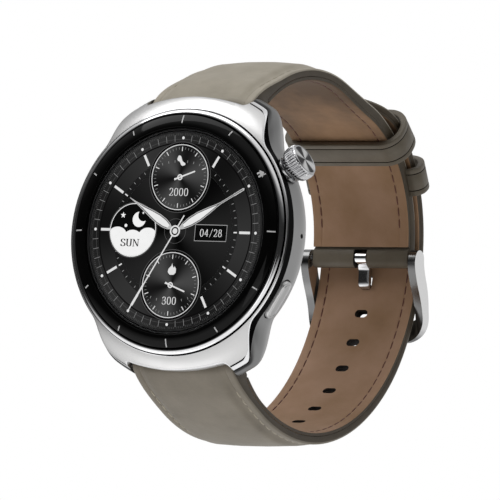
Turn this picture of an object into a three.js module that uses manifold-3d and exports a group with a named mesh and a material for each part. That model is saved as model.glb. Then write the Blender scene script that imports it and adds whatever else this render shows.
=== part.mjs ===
// A round smartwatch on a buckled leather strap, in millimetres.
// +X points to 3 o'clock, +Y to 12 o'clock and +Z out of the display.
// The origin is the centre of the flat sensor face on the case back.
import * as THREE from 'three';
import { mergeVertices } from 'three/addons/utils/BufferGeometryUtils.js';
import Module from 'manifold-3d';

const wasm = await Module();
wasm.setup();

// ---------------------------------------------------------------- driving sizes
const GAP = 0.1;                      // between pieces that are glued or lie on each other
const CLEARANCE = 0.3;                // between pieces that move past each other

const CASE_RADIUS = 23.5;
const CASE_BOTTOM = 2.3;
const CAVITY_RADIUS = 20.6;
const CAVITY_TOP = 8.5;
const LEDGE_RADIUS = 19.5;            // inner flange that carries the display stack
const LEDGE_TOP = 9.5;
const RECESS_RADIUS = 22.95;          // recess for the polished bezel ring
const DOME_CENTRE_RADIUS = 20.5;      // the case top falls away on this arc
const DOME_CENTRE_HEIGHT = 3.5;
const DOME_ARC = 7.1;

const LUG_INNER_HALF_WIDTH = 11.1;
const LUG_TOP_REACH = 27.55;          // radius of the top edge at the lug tips
const LUG_FLANK_REACH = 28.9;         // radius of the flank at the lug tips
const HOOD_EDGE = 25.4;               // the case top reaches over the strap to here
const HOOD_ARC = 35;
const HOOD_UNDERSIDE = 6.6;
const POCKET_START = 21.75;           // the strap pocket is cut back to here

const GLASS_TOP = 12;
const GLASS_RADIUS = 19.1;
const DISPLAY_TOP = 11.3;

const CROWN_ANGLE = 30.5;             // degrees above 3 o'clock
const CROWN_HEIGHT = 6.6;
const CROWN_RADIUS = 3.45;
const CROWN_TRAVEL = 0.5;
const KEY_ANGLE = -30.5;
const KEY_HEIGHT = 6.4;
const KEY_LENGTH = 7.8;
const KEY_WIDTH = 2.8;

const BAR_Y = 24;                     // spring bars
const BAR_Z = 3.6;
const BAR_RADIUS = 0.75;
const STRAP_END_RADIUS = 1.9;

const STRAP_HALF_WIDTH_LUG = 10.8;
const STRAP_HALF_WIDTH_BUCKLE = 10.5;
const STRAP_EDGE = 2.3;               // thickness along the edges
const LINING = 0.7;
const STRAP_PAD = 1.2;                // extra thickness of the padded middle
const TAIL_EDGE = 2.1;

// Strap loop, seen from 3 o'clock, as (y, z): the inner face of each half.
const SIDE_CENTRE = [0.9, -20.2];     // 12 o'clock half, side arc
const SIDE_RADIUS = 31.4;
const SIDE_END = -14.6;               // degrees, where the side arc turns straight
const STRAIGHT = 10.2;
const KEEPER_ARC = 24.4;              // 12 o'clock half, lower arc, along which the keeper slides
const BOTTOM_RADIUS = 37.1;           // 6 o'clock half
const TAIL_ARC = KEEPER_ARC + STRAP_EDGE + 0.6;
const TOP_END = -3.8;                 // about the keeper arc's centre, from straight down
const BUCKLE_BAR_ANGLE = -2.4;
const FOLD_INNER = -0.75;             // towards the buckle the leather is folded and thicker
const FOLD_OUTER = 2.05;
const TOP_END_HALF = 1.3;
const TOP_END_OFFSET = (FOLD_INNER + FOLD_OUTER) / 2;
const BUCKLE_BAR_RADIUS = 0.6;

const HOLE_PITCH = 9.7;               // degrees about the 6 o'clock half's centre
const FIRST_HOLE = 7.1;
const USED_HOLE = 8.3;
const HOLES_BEFORE = 6;
const HOLES_AFTER = 1;

const CURVE_STEPS = 5;                // per curve of an extruded outline

const degrees = (angle) => (angle * Math.PI) / 180;
const mix = (a, b, t) => a + (b - a) * t;
const clamp = (value, low, high) => Math.min(high, Math.max(low, value));
const smooth = (t) => {
  const s = clamp(t, 0, 1);
  return s * s * (3 - 2 * s);
};

// ---------------------------------------------------------------- solids
// Every shape is turned into a welded, closed triangle mesh with its faces pointing out.
function weld(source) {
  const bare = source.index ? source.toNonIndexed() : source.clone();
  for (const name of Object.keys(bare.attributes)) {
    if (name !== 'position') bare.deleteAttribute(name);
  }
  const merged = mergeVertices(bare, 1e-4);
  const points = merged.attributes.position.array;
  const index = merged.index.array;
  const faces = [];
  let volume = 0;
  for (let i = 0; i < index.length; i += 3) {
    const [a, b, c] = [index[i], index[i + 1], index[i + 2]];
    if (a === b || b === c || c === a) continue;
    faces.push(a, b, c);
    const p = new THREE.Vector3().fromArray(points, 3 * a);
    const q = new THREE.Vector3().fromArray(points, 3 * b);
    const r = new THREE.Vector3().fromArray(points, 3 * c);
    volume += p.dot(q.cross(r));
  }
  if (volume < 0) faces.reverse();
  const result = new THREE.BufferGeometry();
  result.setAttribute('position', new THREE.Float32BufferAttribute(points, 3));
  result.setIndex(faces);
  return result;
}

function toSolid(geometry) {
  const welded = weld(geometry);
  return new wasm.Manifold(new wasm.Mesh({
    numProp: 3,
    vertProperties: new Float32Array(welded.attributes.position.array),
    triVerts: new Uint32Array(welded.index.array),
  }));
}

function fromSolid(solid) {
  const mesh = solid.getMesh();
  const result = new THREE.BufferGeometry();
  result.setAttribute('position', new THREE.Float32BufferAttribute(mesh.vertProperties, 3));
  result.setIndex(Array.from(mesh.triVerts));
  return result;
}

function cut(base, ...tools) {
  let solid = toSolid(base);
  for (const tool of tools) solid = solid.subtract(toSolid(tool));
  return fromSolid(solid);
}

function join(...pieces) {
  let solid = toSolid(pieces[0]);
  for (const piece of pieces.slice(1)) solid = solid.add(toSolid(piece));
  return fromSolid(solid);
}

// A profile of [radius, height] points turned about Z.
function lathe(profile, segments = 48) {
  const points = profile.map(([radius, height]) => new THREE.Vector2(radius, height));
  return new THREE.LatheGeometry(points, segments).rotateX(Math.PI / 2);
}

function ring(inner, outer, bottom, top, segments = 32) {
  return lathe([[inner, bottom], [outer, bottom], [outer, top], [inner, top], [inner, bottom]],
    segments);
}

function disc(radius, bottom, top, segments = 48) {
  return lathe([[0, bottom], [radius, bottom], [radius, top], [0, top]], segments);
}

function box(sizeX, sizeY, sizeZ, x, y, z) {
  return new THREE.BoxGeometry(sizeX, sizeY, sizeZ).translate(x, y, z);
}

// A cylinder about the X axis at (y, z), from x = start to x = end.
function barAlongX(radius, start, end, y, z, segments = 14) {
  return disc(radius, start, end, segments).rotateY(Math.PI / 2).translate(0, y, z);
}

// Turns something made about +Z so that it points out of the case at an angle and a height.
function outward(geometry, angle, height) {
  return geometry.rotateY(Math.PI / 2).rotateZ(degrees(angle)).translate(0, 0, height);
}

// A plan outline of (x, y) extruded between two heights.
function extrudeUp(shape, bottom, top) {
  return new THREE.ExtrudeGeometry(shape, {
    depth: top - bottom, bevelEnabled: false, curveSegments: CURVE_STEPS,
  }).translate(0, 0, bottom);
}

// A side outline of (y, z) extruded between two places along X.
function extrudeAcross(shape, start, end) {
  const axes = new THREE.Matrix4().makeBasis(
    new THREE.Vector3(0, 1, 0), new THREE.Vector3(0, 0, 1), new THREE.Vector3(1, 0, 0));
  return new THREE.ExtrudeGeometry(shape, {
    depth: end - start, bevelEnabled: false, curveSegments: CURVE_STEPS,
  }).applyMatrix4(axes).translate(start, 0, 0);
}

// A skin through loops of equally many points. A closed loft runs back to its first loop.
function loft(loops, closed = false) {
  const count = loops[0].length;
  const points = loops.flat().flatMap((point) => [point.x, point.y, point.z]);
  const faces = [];
  const spans = closed ? loops.length : loops.length - 1;
  for (let i = 0; i < spans; i += 1) {
    const here = i * count;
    const next = ((i + 1) % loops.length) * count;
    for (let j = 0; j < count; j += 1) {
      const k = (j + 1) % count;
      faces.push(here + j, here + k, next + k, here + j, next + k, next + j);
    }
  }
  if (!closed) {
    const last = (loops.length - 1) * count;
    for (let j = 1; j < count - 1; j += 1) {
      faces.push(0, j + 1, j, last, last + j, last + j + 1);
    }
  }
  const result = new THREE.BufferGeometry();
  result.setAttribute('position', new THREE.Float32BufferAttribute(points, 3));
  result.setIndex(faces);
  return result;
}

// ---------------------------------------------------------------- materials
const finish = (color, roughness, metalness) =>
  new THREE.MeshStandardMaterial({ color, roughness, metalness });

const MATERIALS = {
  satinSteel: finish(0xd8d8d6, 0.35, 1),
  polishedSteel: finish(0xe6e6e6, 0.12, 1),
  blackCeramic: finish(0x0b0b0c, 0.12, 0),
  glass: finish(0x202428, 0.05, 0),
  display: finish(0x101114, 0.3, 0),
  blackPlastic: finish(0x1b1b1d, 0.5, 0),
  rubber: finish(0x141414, 0.8, 0),
  circuitBoard: finish(0x1d3a2a, 0.6, 0),
  copperFilm: finish(0xb56a35, 0.45, 0.6),
  foil: finish(0x9a9c9e, 0.4, 0.5),
  gold: finish(0xd4a94e, 0.25, 1),
  leather: finish(0x7d776a, 0.6, 0),
  lining: finish(0x7a5a48, 0.8, 0),
};

const watch = new THREE.Group();

function place(name, material, geometry, parent = watch) {
  const mesh = new THREE.Mesh(weld(geometry), MATERIALS[material]);
  mesh.name = name;
  parent.add(mesh);
  return mesh;
}

// ---------------------------------------------------------------- case
const domeHeight = (radius) => DOME_CENTRE_HEIGHT
  + Math.sqrt(Math.max(0, DOME_ARC ** 2 - (radius - DOME_CENTRE_RADIUS) ** 2));

// Angle from 3 o'clock, folded into the first quarter: the case has two mirror planes.
const quarter = (angle) => {
  const folded = Math.abs(((angle + 180) % 360) - 180);
  return folded > 90 ? 180 - folded : folded;
};
const topReach = (angle) =>
  mix(CASE_RADIUS - 0.1, LUG_TOP_REACH, smooth((quarter(angle) - 44) / 18.5) ** 1.2);
const flankReach = (angle) =>
  mix(CASE_RADIUS, LUG_FLANK_REACH, smooth((quarter(angle) - 40) / 19));

function caseShell() {
  const loops = [];
  const steps = 80;
  for (let i = 0; i < steps; i += 1) {
    const angle = (360 * i) / steps;
    const top = topReach(angle);
    const flank = flankReach(angle);
    const edge = domeHeight(top);
    const drop = edge - CASE_BOTTOM;
    const section = [[LEDGE_RADIUS, LEDGE_TOP], [RECESS_RADIUS, LEDGE_TOP]];
    for (const t of [0, 0.4, 0.7, 1]) {
      const radius = mix(RECESS_RADIUS, top, t);
      section.push([radius, domeHeight(radius)]);
    }
    section.push([mix(top, flank, 0.65), edge - 0.28 * drop]);
    section.push([flank, CASE_BOTTOM + 0.35 * drop]);
    section.push([flank - 1.2, CASE_BOTTOM]);
    section.push([CAVITY_RADIUS, CASE_BOTTOM], [CAVITY_RADIUS, CAVITY_TOP]);
    section.push([LEDGE_RADIUS, CAVITY_TOP]);
    const turn = degrees(angle);
    loops.push(section.map(([radius, height]) =>
      new THREE.Vector3(radius * Math.cos(turn), radius * Math.sin(turn), height)));
  }
  return loft(loops, true);
}

// What is cut away between two lugs: the notch past the hood, and the pocket under it.
function strapPocket(side) {
  const half = LUG_INNER_HALF_WIDTH;
  const corner = 1.3;
  const arcY = (x) => HOOD_EDGE - (x * x) / (2 * HOOD_ARC);
  const notch = new THREE.Shape();
  const start = half - corner;
  notch.moveTo(-start, side * arcY(start));
  for (let i = 1; i <= 12; i += 1) {
    const x = mix(-start, start, i / 12);
    notch.lineTo(x, side * arcY(x));
  }
  notch.quadraticCurveTo(half, side * arcY(half), half, side * (arcY(half) + corner));
  notch.lineTo(half, side * 32);
  notch.lineTo(-half, side * 32);
  notch.lineTo(-half, side * (arcY(half) + corner));
  notch.quadraticCurveTo(-half, side * arcY(half), -start, side * arcY(start));
  const depth = 32 - POCKET_START;
  return join(
    extrudeUp(notch, -2, 14),
    box(2 * half, depth, HOOD_UNDERSIDE + 3, 0, side * (POCKET_START + depth / 2),
      HOOD_UNDERSIDE - (HOOD_UNDERSIDE + 3) / 2));
}

const SCREW_CIRCLE = 19.3;
const SCREW_ANGLES = [45, 135, 225, 315];
const at = (geometry, radius, angle) => geometry.translate(
  radius * Math.cos(degrees(angle)), radius * Math.sin(degrees(angle)), 0);

const KEY_FLOOR = 21.8;               // floor of the side key's pocket, from the case axis

// A long round-ended outline about the origin: the side key and its pocket.
function capsule(length, width) {
  const radius = width / 2;
  const straight = length / 2 - radius;
  const shape = new THREE.Shape();
  shape.absarc(0, straight, radius, 0, Math.PI, false);
  shape.absarc(0, -straight, radius, Math.PI, 2 * Math.PI, false);
  return shape;
}

function caseBody() {
  let body = caseShell();
  const bosses = SCREW_ANGLES.map((angle) =>
    at(disc(1.5, CASE_BOTTOM + 0.2, CAVITY_TOP + 0.3, 12), SCREW_CIRCLE, angle));
  body = join(body, ...bosses);
  const threads = SCREW_ANGLES.map((angle) =>
    at(disc(0.65, CASE_BOTTOM - 1, 6.5, 10), SCREW_CIRCLE, angle));
  const pinHoles = [BAR_Y, -BAR_Y].map((y) => barAlongX(0.6, -13.2, 13.2, y, BAR_Z, 12));
  const crownBore = outward(disc(2, 18, 26, 20), CROWN_ANGLE, CROWN_HEIGHT);
  const keyPocket = outward(extrudeUp(capsule(KEY_LENGTH + 0.5, KEY_WIDTH + 0.5), KEY_FLOOR, 26),
    KEY_ANGLE, KEY_HEIGHT);
  const keyBore = outward(disc(1.3, 18, 23, 14), KEY_ANGLE, KEY_HEIGHT);
  const speakerSlots = [175, 180, 185].map((angle) =>
    outward(extrudeUp(capsule(1.4, 0.7), 18, 26), angle, 5.2));
  const microphoneHole = outward(disc(0.45, 18, 26, 8), 0, 5.2);
  return cut(body, strapPocket(1), strapPocket(-1), ...threads, ...pinHoles, crownBore,
    keyPocket, keyBore, ...speakerSlots, microphoneHole);
}

place('case_body', 'satinSteel', caseBody());

place('bezel_ring', 'polishedSteel', lathe([[21.88, 9.55], [22.8, 9.55], [22.8, 10.45],
  [22.0, 10.86], [21.88, 9.55]], 60));

place('bezel_insert', 'blackCeramic', lathe([[19.25, 10.7], [21.6, 10.7], [21.6, 11.2],
  [20.6, 11.7], [19.25, 11.9], [19.25, 10.7]], 60));

place('cover_glass', 'glass', lathe([[0, 11.4], [GLASS_RADIUS, 11.4], [GLASS_RADIUS, 11.85],
  [GLASS_RADIUS - 0.15, GLASS_TOP], [0, GLASS_TOP]], 60));

place('glass_seat', 'blackPlastic', lathe([[18.8, 10], [21.5, 10], [21.5, 10.6], [19.1, 10.6],
  [19.1, 11.35], [18.8, 11.35], [18.8, 10]], 40));

place('front_gasket', 'rubber', ring(19.9, 20.9, LEDGE_TOP + 0.05, 9.95));

place('display_panel', 'display', disc(18.6, 10.2, DISPLAY_TOP, 40));

// ---------------------------------------------------------------- inside the case
function displayFlex() {
  const thickness = 0.25;
  const side = new THREE.Shape();
  side.moveTo(4, 9.8);
  side.lineTo(12.6, 9.8);
  side.lineTo(12.6, 6.3);
  side.lineTo(8, 6.3);
  side.lineTo(8, 6.3 - thickness);
  side.lineTo(12.6 + thickness, 6.3 - thickness);
  side.lineTo(12.6 + thickness, 9.8 + thickness);
  side.lineTo(4, 9.8 + thickness);
  side.closePath();
  return extrudeAcross(side, -4, 4);
}
place('display_flex', 'copperFilm', displayFlex());

place('inner_chassis', 'blackPlastic', cut(
  disc(17.6, 7, 8.3, 48),
  box(23, 12, 3, 0, -6, 7.6),
  box(10, 3, 3, 0, 12.9, 7.6),
  box(12, 5, 3, 0, 5.5, 7.6)));

function mainboard() {
  const outline = new THREE.Shape();
  const radius = 17.2;
  const edge = 2.6;
  const start = Math.asin(edge / radius);
  outline.absarc(0, 0, radius, start, Math.PI - start, false);
  outline.closePath();
  return join(
    extrudeUp(outline, 5, 5.8),
    box(6, 6, 0.9, -7, 7, 6.15),
    box(4, 5, 0.7, 9.5, 6.5, 6.05),
    box(5, 1.6, 0.6, 0, 4.4, 6));
}
place('mainboard', 'circuitBoard', mainboard());

place('battery', 'foil', join(
  box(23.6, 13.6, 3.4, 0, -5.4, 4.7),
  box(6, 1.2, 1.4, 0, 1.6, 5.3)));

place('vibration_motor', 'foil', disc(3.9, 2.9, 4.6, 32).translate(7.5, 8.5, 0));

place('speaker', 'blackPlastic', join(
  box(10, 6, 1.7, -7.2, 8.4, 3.75),
  box(7, 3.6, 0.3, -7.2, 8.4, 4.7)));

// ---------------------------------------------------------------- case back
place('back_gasket', 'rubber', ring(20.9, 21.5, 1.95, 2.25));

function backCover() {
  const plate = lathe([[12, 1.4], [13.4, 1.4], [13.4, 0.9], [20.9, 0.9], [21.7, 1.5],
    [21.7, 1.9], [12, 1.9], [12, 1.4]], 40);
  const screwHoles = SCREW_ANGLES.flatMap((angle) => [
    at(disc(1.25, 0, 1.5, 16), SCREW_CIRCLE, angle),
    at(disc(0.7, 1, 3, 10), SCREW_CIRCLE, angle)]);
  const contactHoles = [-2.6, 2.6].map((x) => disc(1.1, 0, 3, 14).translate(x, -16.4, 0));
  return cut(plate, ...screwHoles, ...contactHoles);
}
place('back_cover', 'satinSteel', backCover());

place('sensor_window', 'blackCeramic', lathe([[0, 0], [9, 0], [11.5, 0.25], [13.2, 0.85],
  [13.2, 1.3], [0, 1.3]], 40));

place('sensor_board', 'circuitBoard', join(
  disc(11.6, 1.5, 2, 40),
  box(5, 5, 0.7, 0, 0, 2.2),
  box(3, 2, 0.5, 6, 3, 2.1)));

[-2.6, 2.6].forEach((x, i) => {
  place(`charge_contact_${i + 1}`, 'gold', disc(0.9, 0.85, 3, 14).translate(x, -16.4, 0));
});

SCREW_ANGLES.forEach((angle, i) => {
  const head = cut(disc(1.1, 0.95, 1.45, 16), box(1.5, 0.3, 0.4, 0, 0, 0.95));
  const screw = join(head, disc(0.5, 1.3, 5, 10));
  place(`back_screw_${i + 1}`, 'polishedSteel', at(screw, SCREW_CIRCLE, angle));
});

// ---------------------------------------------------------------- crown
// Along the crown's axis, heights are distances from the case axis.
function crownCap() {
  const teeth = 24;
  const outline = new THREE.Shape();
  for (let i = 0; i < teeth; i += 1) {
    const middle = (2 * Math.PI * i) / teeth;
    const half = Math.PI / teeth;
    for (const [turn, radius] of [[-0.5, -0.25], [0.3, 0]]) {
      const angle = middle + turn * half;
      const reach = CROWN_RADIUS + radius;
      const point = [reach * Math.cos(angle), reach * Math.sin(angle)];
      if (i === 0 && turn < 0) outline.moveTo(...point);
      else outline.lineTo(...point);
    }
  }
  outline.closePath();
  const knurl = extrudeUp(outline, 25.1, 27.1);
  const cap = lathe([[0, 24.8], [3.15, 24.8], [3.15, 27.6], [3.0, 27.75], [0, 27.75]], 24);
  return cut(join(knurl, cap), disc(2.2, 24, 25.6, 20));
}
place('crown_cap', 'polishedSteel', outward(crownCap(), CROWN_ANGLE, CROWN_HEIGHT));

place('crown_stem', 'polishedSteel', outward(join(
  disc(0.7, 18.7, 25.5, 12),
  disc(1, 18.7, 19.1, 12)), CROWN_ANGLE, CROWN_HEIGHT));

place('crown_bush', 'blackPlastic', outward(ring(0.85, 1.7, 19.3, 20.2, 16),
  CROWN_ANGLE, CROWN_HEIGHT));

place('crown_tube', 'polishedSteel', outward(lathe([[0.95, 20.9], [1.9, 20.9], [1.9, 23.6],
  [2.75, 23.65], [2.75, 24.1], [1.75, 24.15], [1.75, 24.45], [1.35, 24.45], [1.35, 23.6],
  [0.95, 23.6], [0.95, 20.9]], 20), CROWN_ANGLE, CROWN_HEIGHT));

place('crown_seal', 'rubber', outward(ring(0.8, 1.25, 23.7, 24.3, 16),
  CROWN_ANGLE, CROWN_HEIGHT));

place('crown_encoder', 'blackPlastic', outward(join(
  box(3.4, 3.4, 0.5, 0, 0, 17.85),
  disc(0.6, 18, 18.2, 16)), CROWN_ANGLE, CROWN_HEIGHT));

// ---------------------------------------------------------------- side key
place('side_key', 'polishedSteel', outward(join(
  extrudeUp(capsule(KEY_LENGTH, KEY_WIDTH), 22.3, 23.7),
  extrudeUp(capsule(KEY_LENGTH - 0.4, KEY_WIDTH - 0.4), 23.6, 23.9)),
KEY_ANGLE, KEY_HEIGHT));

place('key_plunger', 'polishedSteel', outward(disc(0.7, 19.9, 22.2, 12), KEY_ANGLE, KEY_HEIGHT));

place('key_seal', 'rubber', outward(ring(0.8, 1.2, 21, 21.6, 16), KEY_ANGLE, KEY_HEIGHT));

place('key_switch', 'blackPlastic', outward(join(
  box(3, 3.6, 0.7, 0, 0, 18.75),
  disc(0.7, 19, 19.3, 16)), KEY_ANGLE, KEY_HEIGHT));

// ---------------------------------------------------------------- spring bars
// A tube fixed at 9 o'clock, with a sprung pin at 3 o'clock that a small knob draws in.
// The spring is drawn at the length it has when the pin is fully drawn in.
const KNOB_X = 6.2;
const PIN_TRAVEL = 1.6;
const PIN_START = 5.2;
const SPRING_START = 1.6;
[['top', BAR_Y], ['bottom', -BAR_Y]].forEach(([end, y]) => {
  const tube = join(
    barAlongX(BAR_RADIUS, -10.6, 10.4, y, BAR_Z),
    barAlongX(0.4, -12.6, -10.2, y, BAR_Z, 10));
  const bore = barAlongX(0.5, 1.5, 11, y, BAR_Z, 10);
  const knobSlot = box(PIN_TRAVEL + 1.2, 1, 2, KNOB_X - PIN_TRAVEL / 2, y, BAR_Z - 1);
  place(`spring_bar_${end}`, 'polishedSteel', cut(tube, bore, knobSlot));
  place(`release_pin_${end}`, 'polishedSteel', join(
    barAlongX(0.35, PIN_START, 12.6, y, BAR_Z, 10),
    disc(0.35, BAR_Z - 1.75, BAR_Z, 10).translate(KNOB_X, y, 0),
    disc(0.55, BAR_Z - 2.15, BAR_Z - 1.6, 12).translate(KNOB_X, y, 0)));
  place(`bar_spring_${end}`, 'polishedSteel', barAlongX(0.35, SPRING_START,
    PIN_START - PIN_TRAVEL - GAP, y, BAR_Z, 10));
});

// ---------------------------------------------------------------- strap loop
const onArc = (centre, radius, angle) => [
  centre[0] + radius * Math.cos(degrees(angle)),
  centre[1] + radius * Math.sin(degrees(angle))];

const SIDE_TURN = onArc(SIDE_CENTRE, SIDE_RADIUS, SIDE_END);
const STRAIGHT_END = [
  SIDE_TURN[0] + STRAIGHT * Math.sin(degrees(SIDE_END)),
  SIDE_TURN[1] - STRAIGHT * Math.cos(degrees(SIDE_END))];
const KEEPER_CENTRE = onArc(STRAIGHT_END, -KEEPER_ARC, SIDE_END);

// The 6 o'clock half is one arc that runs on, without a kink, into the tail's arc.
const TAIL_TURN = 5.4;                // degrees from straight down, where the two arcs meet
const BOTTOM_CENTRE = onArc(KEEPER_CENTRE, BOTTOM_RADIUS - TAIL_ARC, 90 + TAIL_TURN);

// One place on the loop: the point on the inner face and the outward direction there.
const station = (centre, radius, angle) => ({
  point: onArc(centre, radius, angle),
  out: [Math.cos(degrees(angle)), Math.sin(degrees(angle))],
});

const barAngle = (centre, y) => THREE.MathUtils.radToDeg(Math.atan2(BAR_Z - centre[1],
  y - centre[0]));
const barDistance = (centre, y) => Math.hypot(BAR_Z - centre[1], y - centre[0]);

// A route is a list of stations with their length along the loop, measured from the spring bar.
function follow(stations) {
  let travelled = 0;
  return stations.map((item, i) => {
    if (i > 0) {
      const last = stations[i - 1].point;
      travelled += Math.hypot(item.point[0] - last[0], item.point[1] - last[1]);
    }
    return { ...item, length: travelled };
  });
}

function arcStations(centre, radius, from, to, steps) {
  const list = [];
  for (let i = 0; i <= steps; i += 1) list.push(station(centre, radius, mix(from, to, i / steps)));
  return list;
}

const TOP_END_ANGLE = -90 + TOP_END;
const topRoute = follow([
  ...arcStations(SIDE_CENTRE, SIDE_RADIUS, barAngle(SIDE_CENTRE, BAR_Y), SIDE_END, 9),
  ...arcStations(KEEPER_CENTRE, KEEPER_ARC, SIDE_END, TOP_END_ANGLE, 10),
]);

const TAIL_END_ANGLE = SIDE_END - 8.4;
const TAIL_TIP = 4;                   // the tip runs straight for this much more
const tailTangent = [-Math.sin(degrees(TAIL_END_ANGLE)), Math.cos(degrees(TAIL_END_ANGLE))];
function bottomStations() {
  const start = barAngle(BOTTOM_CENTRE, -BAR_Y);
  const meet = -90 + TAIL_TURN;
  const list = [
    ...arcStations(BOTTOM_CENTRE, BOTTOM_RADIUS, start, 360 + meet, 15),
    ...arcStations(KEEPER_CENTRE, TAIL_ARC, meet, TAIL_END_ANGLE, 9).slice(1)];
  const last = list[list.length - 1];
  for (const step of [0.5, 1]) {
    list.push({
      point: [last.point[0] + tailTangent[0] * TAIL_TIP * step,
        last.point[1] + tailTangent[1] * TAIL_TIP * step],
      out: last.out,
    });
  }
  return follow(list);
}
const bottomRoute = bottomStations();

const BLEND_LENGTH = 11;              // from the thick end at the spring bar to the plain strap
const PAD_LENGTH = 20;               // the padded middle ends in a slope after this

// A strap half as a loft. "section" gives the inner and outer face at a length and a place
// across, from -1 to 1, both as heights above the route's inner face.
function ribbon(route, across, halfWidth, section) {
  const loops = route.map((item) => {
    const half = halfWidth(item.length);
    const inner = [];
    const outer = [];
    for (const place of across) {
      const [low, high] = section(item.length, place);
      const spot = (height) => new THREE.Vector3(half * place,
        item.point[0] + item.out[0] * height, item.point[1] + item.out[1] * height);
      inner.push(spot(low));
      outer.unshift(spot(high));
    }
    return [...inner, ...outer];
  });
  return loft(loops);
}

const ACROSS = [-1, -0.6, 0, 0.6, 1];
const crown = (place) => smooth((1 - Math.abs(place)) / 0.45);

// The round end about the spring bar, then the blend into the strap's own thickness.
function strapFaces(barOffset, edge, totalLength) {
  return (length, place) => {
    if (length < 0) {
      const half = Math.sqrt(Math.max(0.02, STRAP_END_RADIUS ** 2 - length ** 2));
      return [barOffset - half, barOffset + half + 0.5 * crown(place) * smooth(1 + length / 2)];
    }
    const blend = smooth(length / BLEND_LENGTH);
    const pad = STRAP_PAD * (1 - smooth((length - PAD_LENGTH) / 16))
      * Math.min(1, 0.45 + 0.55 * smooth(length / 6));
    const low = mix(barOffset - STRAP_END_RADIUS, 0, blend);
    const high = mix(barOffset + STRAP_END_RADIUS, edge, blend);
    const nearEnd = smooth((totalLength - length) / 6);
    return [low, high + pad * crown(place) * nearEnd];
  };
}

// The stations around the spring bar, before the route starts.
function roundEnd(route, centre) {
  const first = route[0];
  const radius = Math.hypot(first.point[0] - centre[0], first.point[1] - centre[1]);
  const side = Math.sign(route[1].point[1] - first.point[1]);
  const angle = THREE.MathUtils.radToDeg(Math.atan2(first.out[1], first.out[0]));
  const turn = (first.out[0] > 0 ? 1 : -1) * -side;
  return [-0.995, -0.85, -0.5].map((part) => {
    const length = part * STRAP_END_RADIUS;
    const spot = station(centre, radius, angle - turn * THREE.MathUtils.radToDeg(length / radius));
    return { ...spot, length };
  });
}

const topLength = topRoute[topRoute.length - 1].length;
const bottomLength = bottomRoute[bottomRoute.length - 1].length;
const topBarOffset = barDistance(SIDE_CENTRE, BAR_Y) - SIDE_RADIUS;
const bottomBarOffset = barDistance(BOTTOM_CENTRE, -BAR_Y) - BOTTOM_RADIUS;

const topHalfWidth = (length) =>
  mix(STRAP_HALF_WIDTH_LUG, STRAP_HALF_WIDTH_BUCKLE, smooth(length / 45));
const tipTaper = (length) => {
  const t = clamp((length - (bottomLength - 9)) / 9, 0, 1);
  return Math.sqrt(Math.max(0.12, 1 - t ** 2.4));
};
const bottomHalfWidth = (length) =>
  mix(STRAP_HALF_WIDTH_LUG, STRAP_HALF_WIDTH_BUCKLE - 0.3, smooth(length / 60)) * tipTaper(length);

const barHole = (y) => barAlongX(BAR_RADIUS + 0.2, -14, 14, y, BAR_Z, 12);
// Room for the release pin's knob on the wrist side.
const knobWindow = (y) => box(PIN_TRAVEL + 2.6, 2, 3, KNOB_X - PIN_TRAVEL / 2, y,
  BAR_Z - 2.1);

const LINING_START = 3.4;
const liningPart = (route, end) => route.filter(({ length }) =>
  length > LINING_START && length < end);

// The same route with one more station, a little past its last one.
function runPast(route) {
  const last = route[route.length - 1];
  const before = route[route.length - 2];
  const point = last.point.map((value, i) => value + 0.5 * (value - before.point[i]));
  return [...route, { ...last, point, length: last.length + 1 }];
}

const liningPocket = (route, faces) => ribbon(route, [-1, 1], () => 20, (length) =>
  [-6, faces(length, 1)[0] + LINING + GAP]);

const liningStrip = (route, halfWidth, faces) =>
  ribbon(route, [-1, 1], (length) => halfWidth(length) - 0.15, (length) => {
    const low = faces(length, 1)[0];
    return [low, low + LINING];
  });

const buckleBar = onArc(KEEPER_CENTRE, KEEPER_ARC + TOP_END_OFFSET, BUCKLE_BAR_ANGLE - 90);
const KEEPER_FIXED_ANGLE = -59.5;     // about the keeper arc's centre
const KEEPER_FREE_ANGLE = -39.7;
const KEEPER_LENGTH = 5.4;
const KEEPER_WALL = 1.2;

// A keeper: a flat leather loop with round corners, wide across the strap.
function keeperLoop(angle, innerLow, innerHigh, legThickness) {
  const halfInner = STRAP_HALF_WIDTH_BUCKLE + 0.8;
  const outline = (half, low, high, corner) => {
    const shape = new THREE.Shape();
    shape.moveTo(-half + corner, low);
    shape.lineTo(half - corner, low);
    shape.quadraticCurveTo(half, low, half, low + corner);
    shape.lineTo(half, high - corner);
    shape.quadraticCurveTo(half, high, half - corner, high);
    shape.lineTo(-half + corner, high);
    shape.quadraticCurveTo(-half, high, -half, high - corner);
    shape.lineTo(-half, low + corner);
    shape.quadraticCurveTo(-half, low, -half + corner, low);
    return shape;
  };
  const shape = outline(halfInner + KEEPER_WALL, innerLow - legThickness,
    innerHigh + KEEPER_WALL, legThickness < 1 ? 0.6 : 3);
  shape.holes.push(outline(halfInner, innerLow, innerHigh, 0.5));
  const turn = degrees(angle);
  const out = new THREE.Vector3(0, Math.cos(turn), Math.sin(turn));
  const axes = new THREE.Matrix4().makeBasis(new THREE.Vector3(1, 0, 0), out,
    new THREE.Vector3(1, 0, 0).cross(out));
  return new THREE.ExtrudeGeometry(shape, {
    depth: KEEPER_LENGTH, bevelEnabled: false, curveSegments: CURVE_STEPS,
  }).translate(0, 0, -KEEPER_LENGTH / 2).applyMatrix4(axes)
    .translate(0, KEEPER_CENTRE[0], KEEPER_CENTRE[1]);
}

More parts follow.
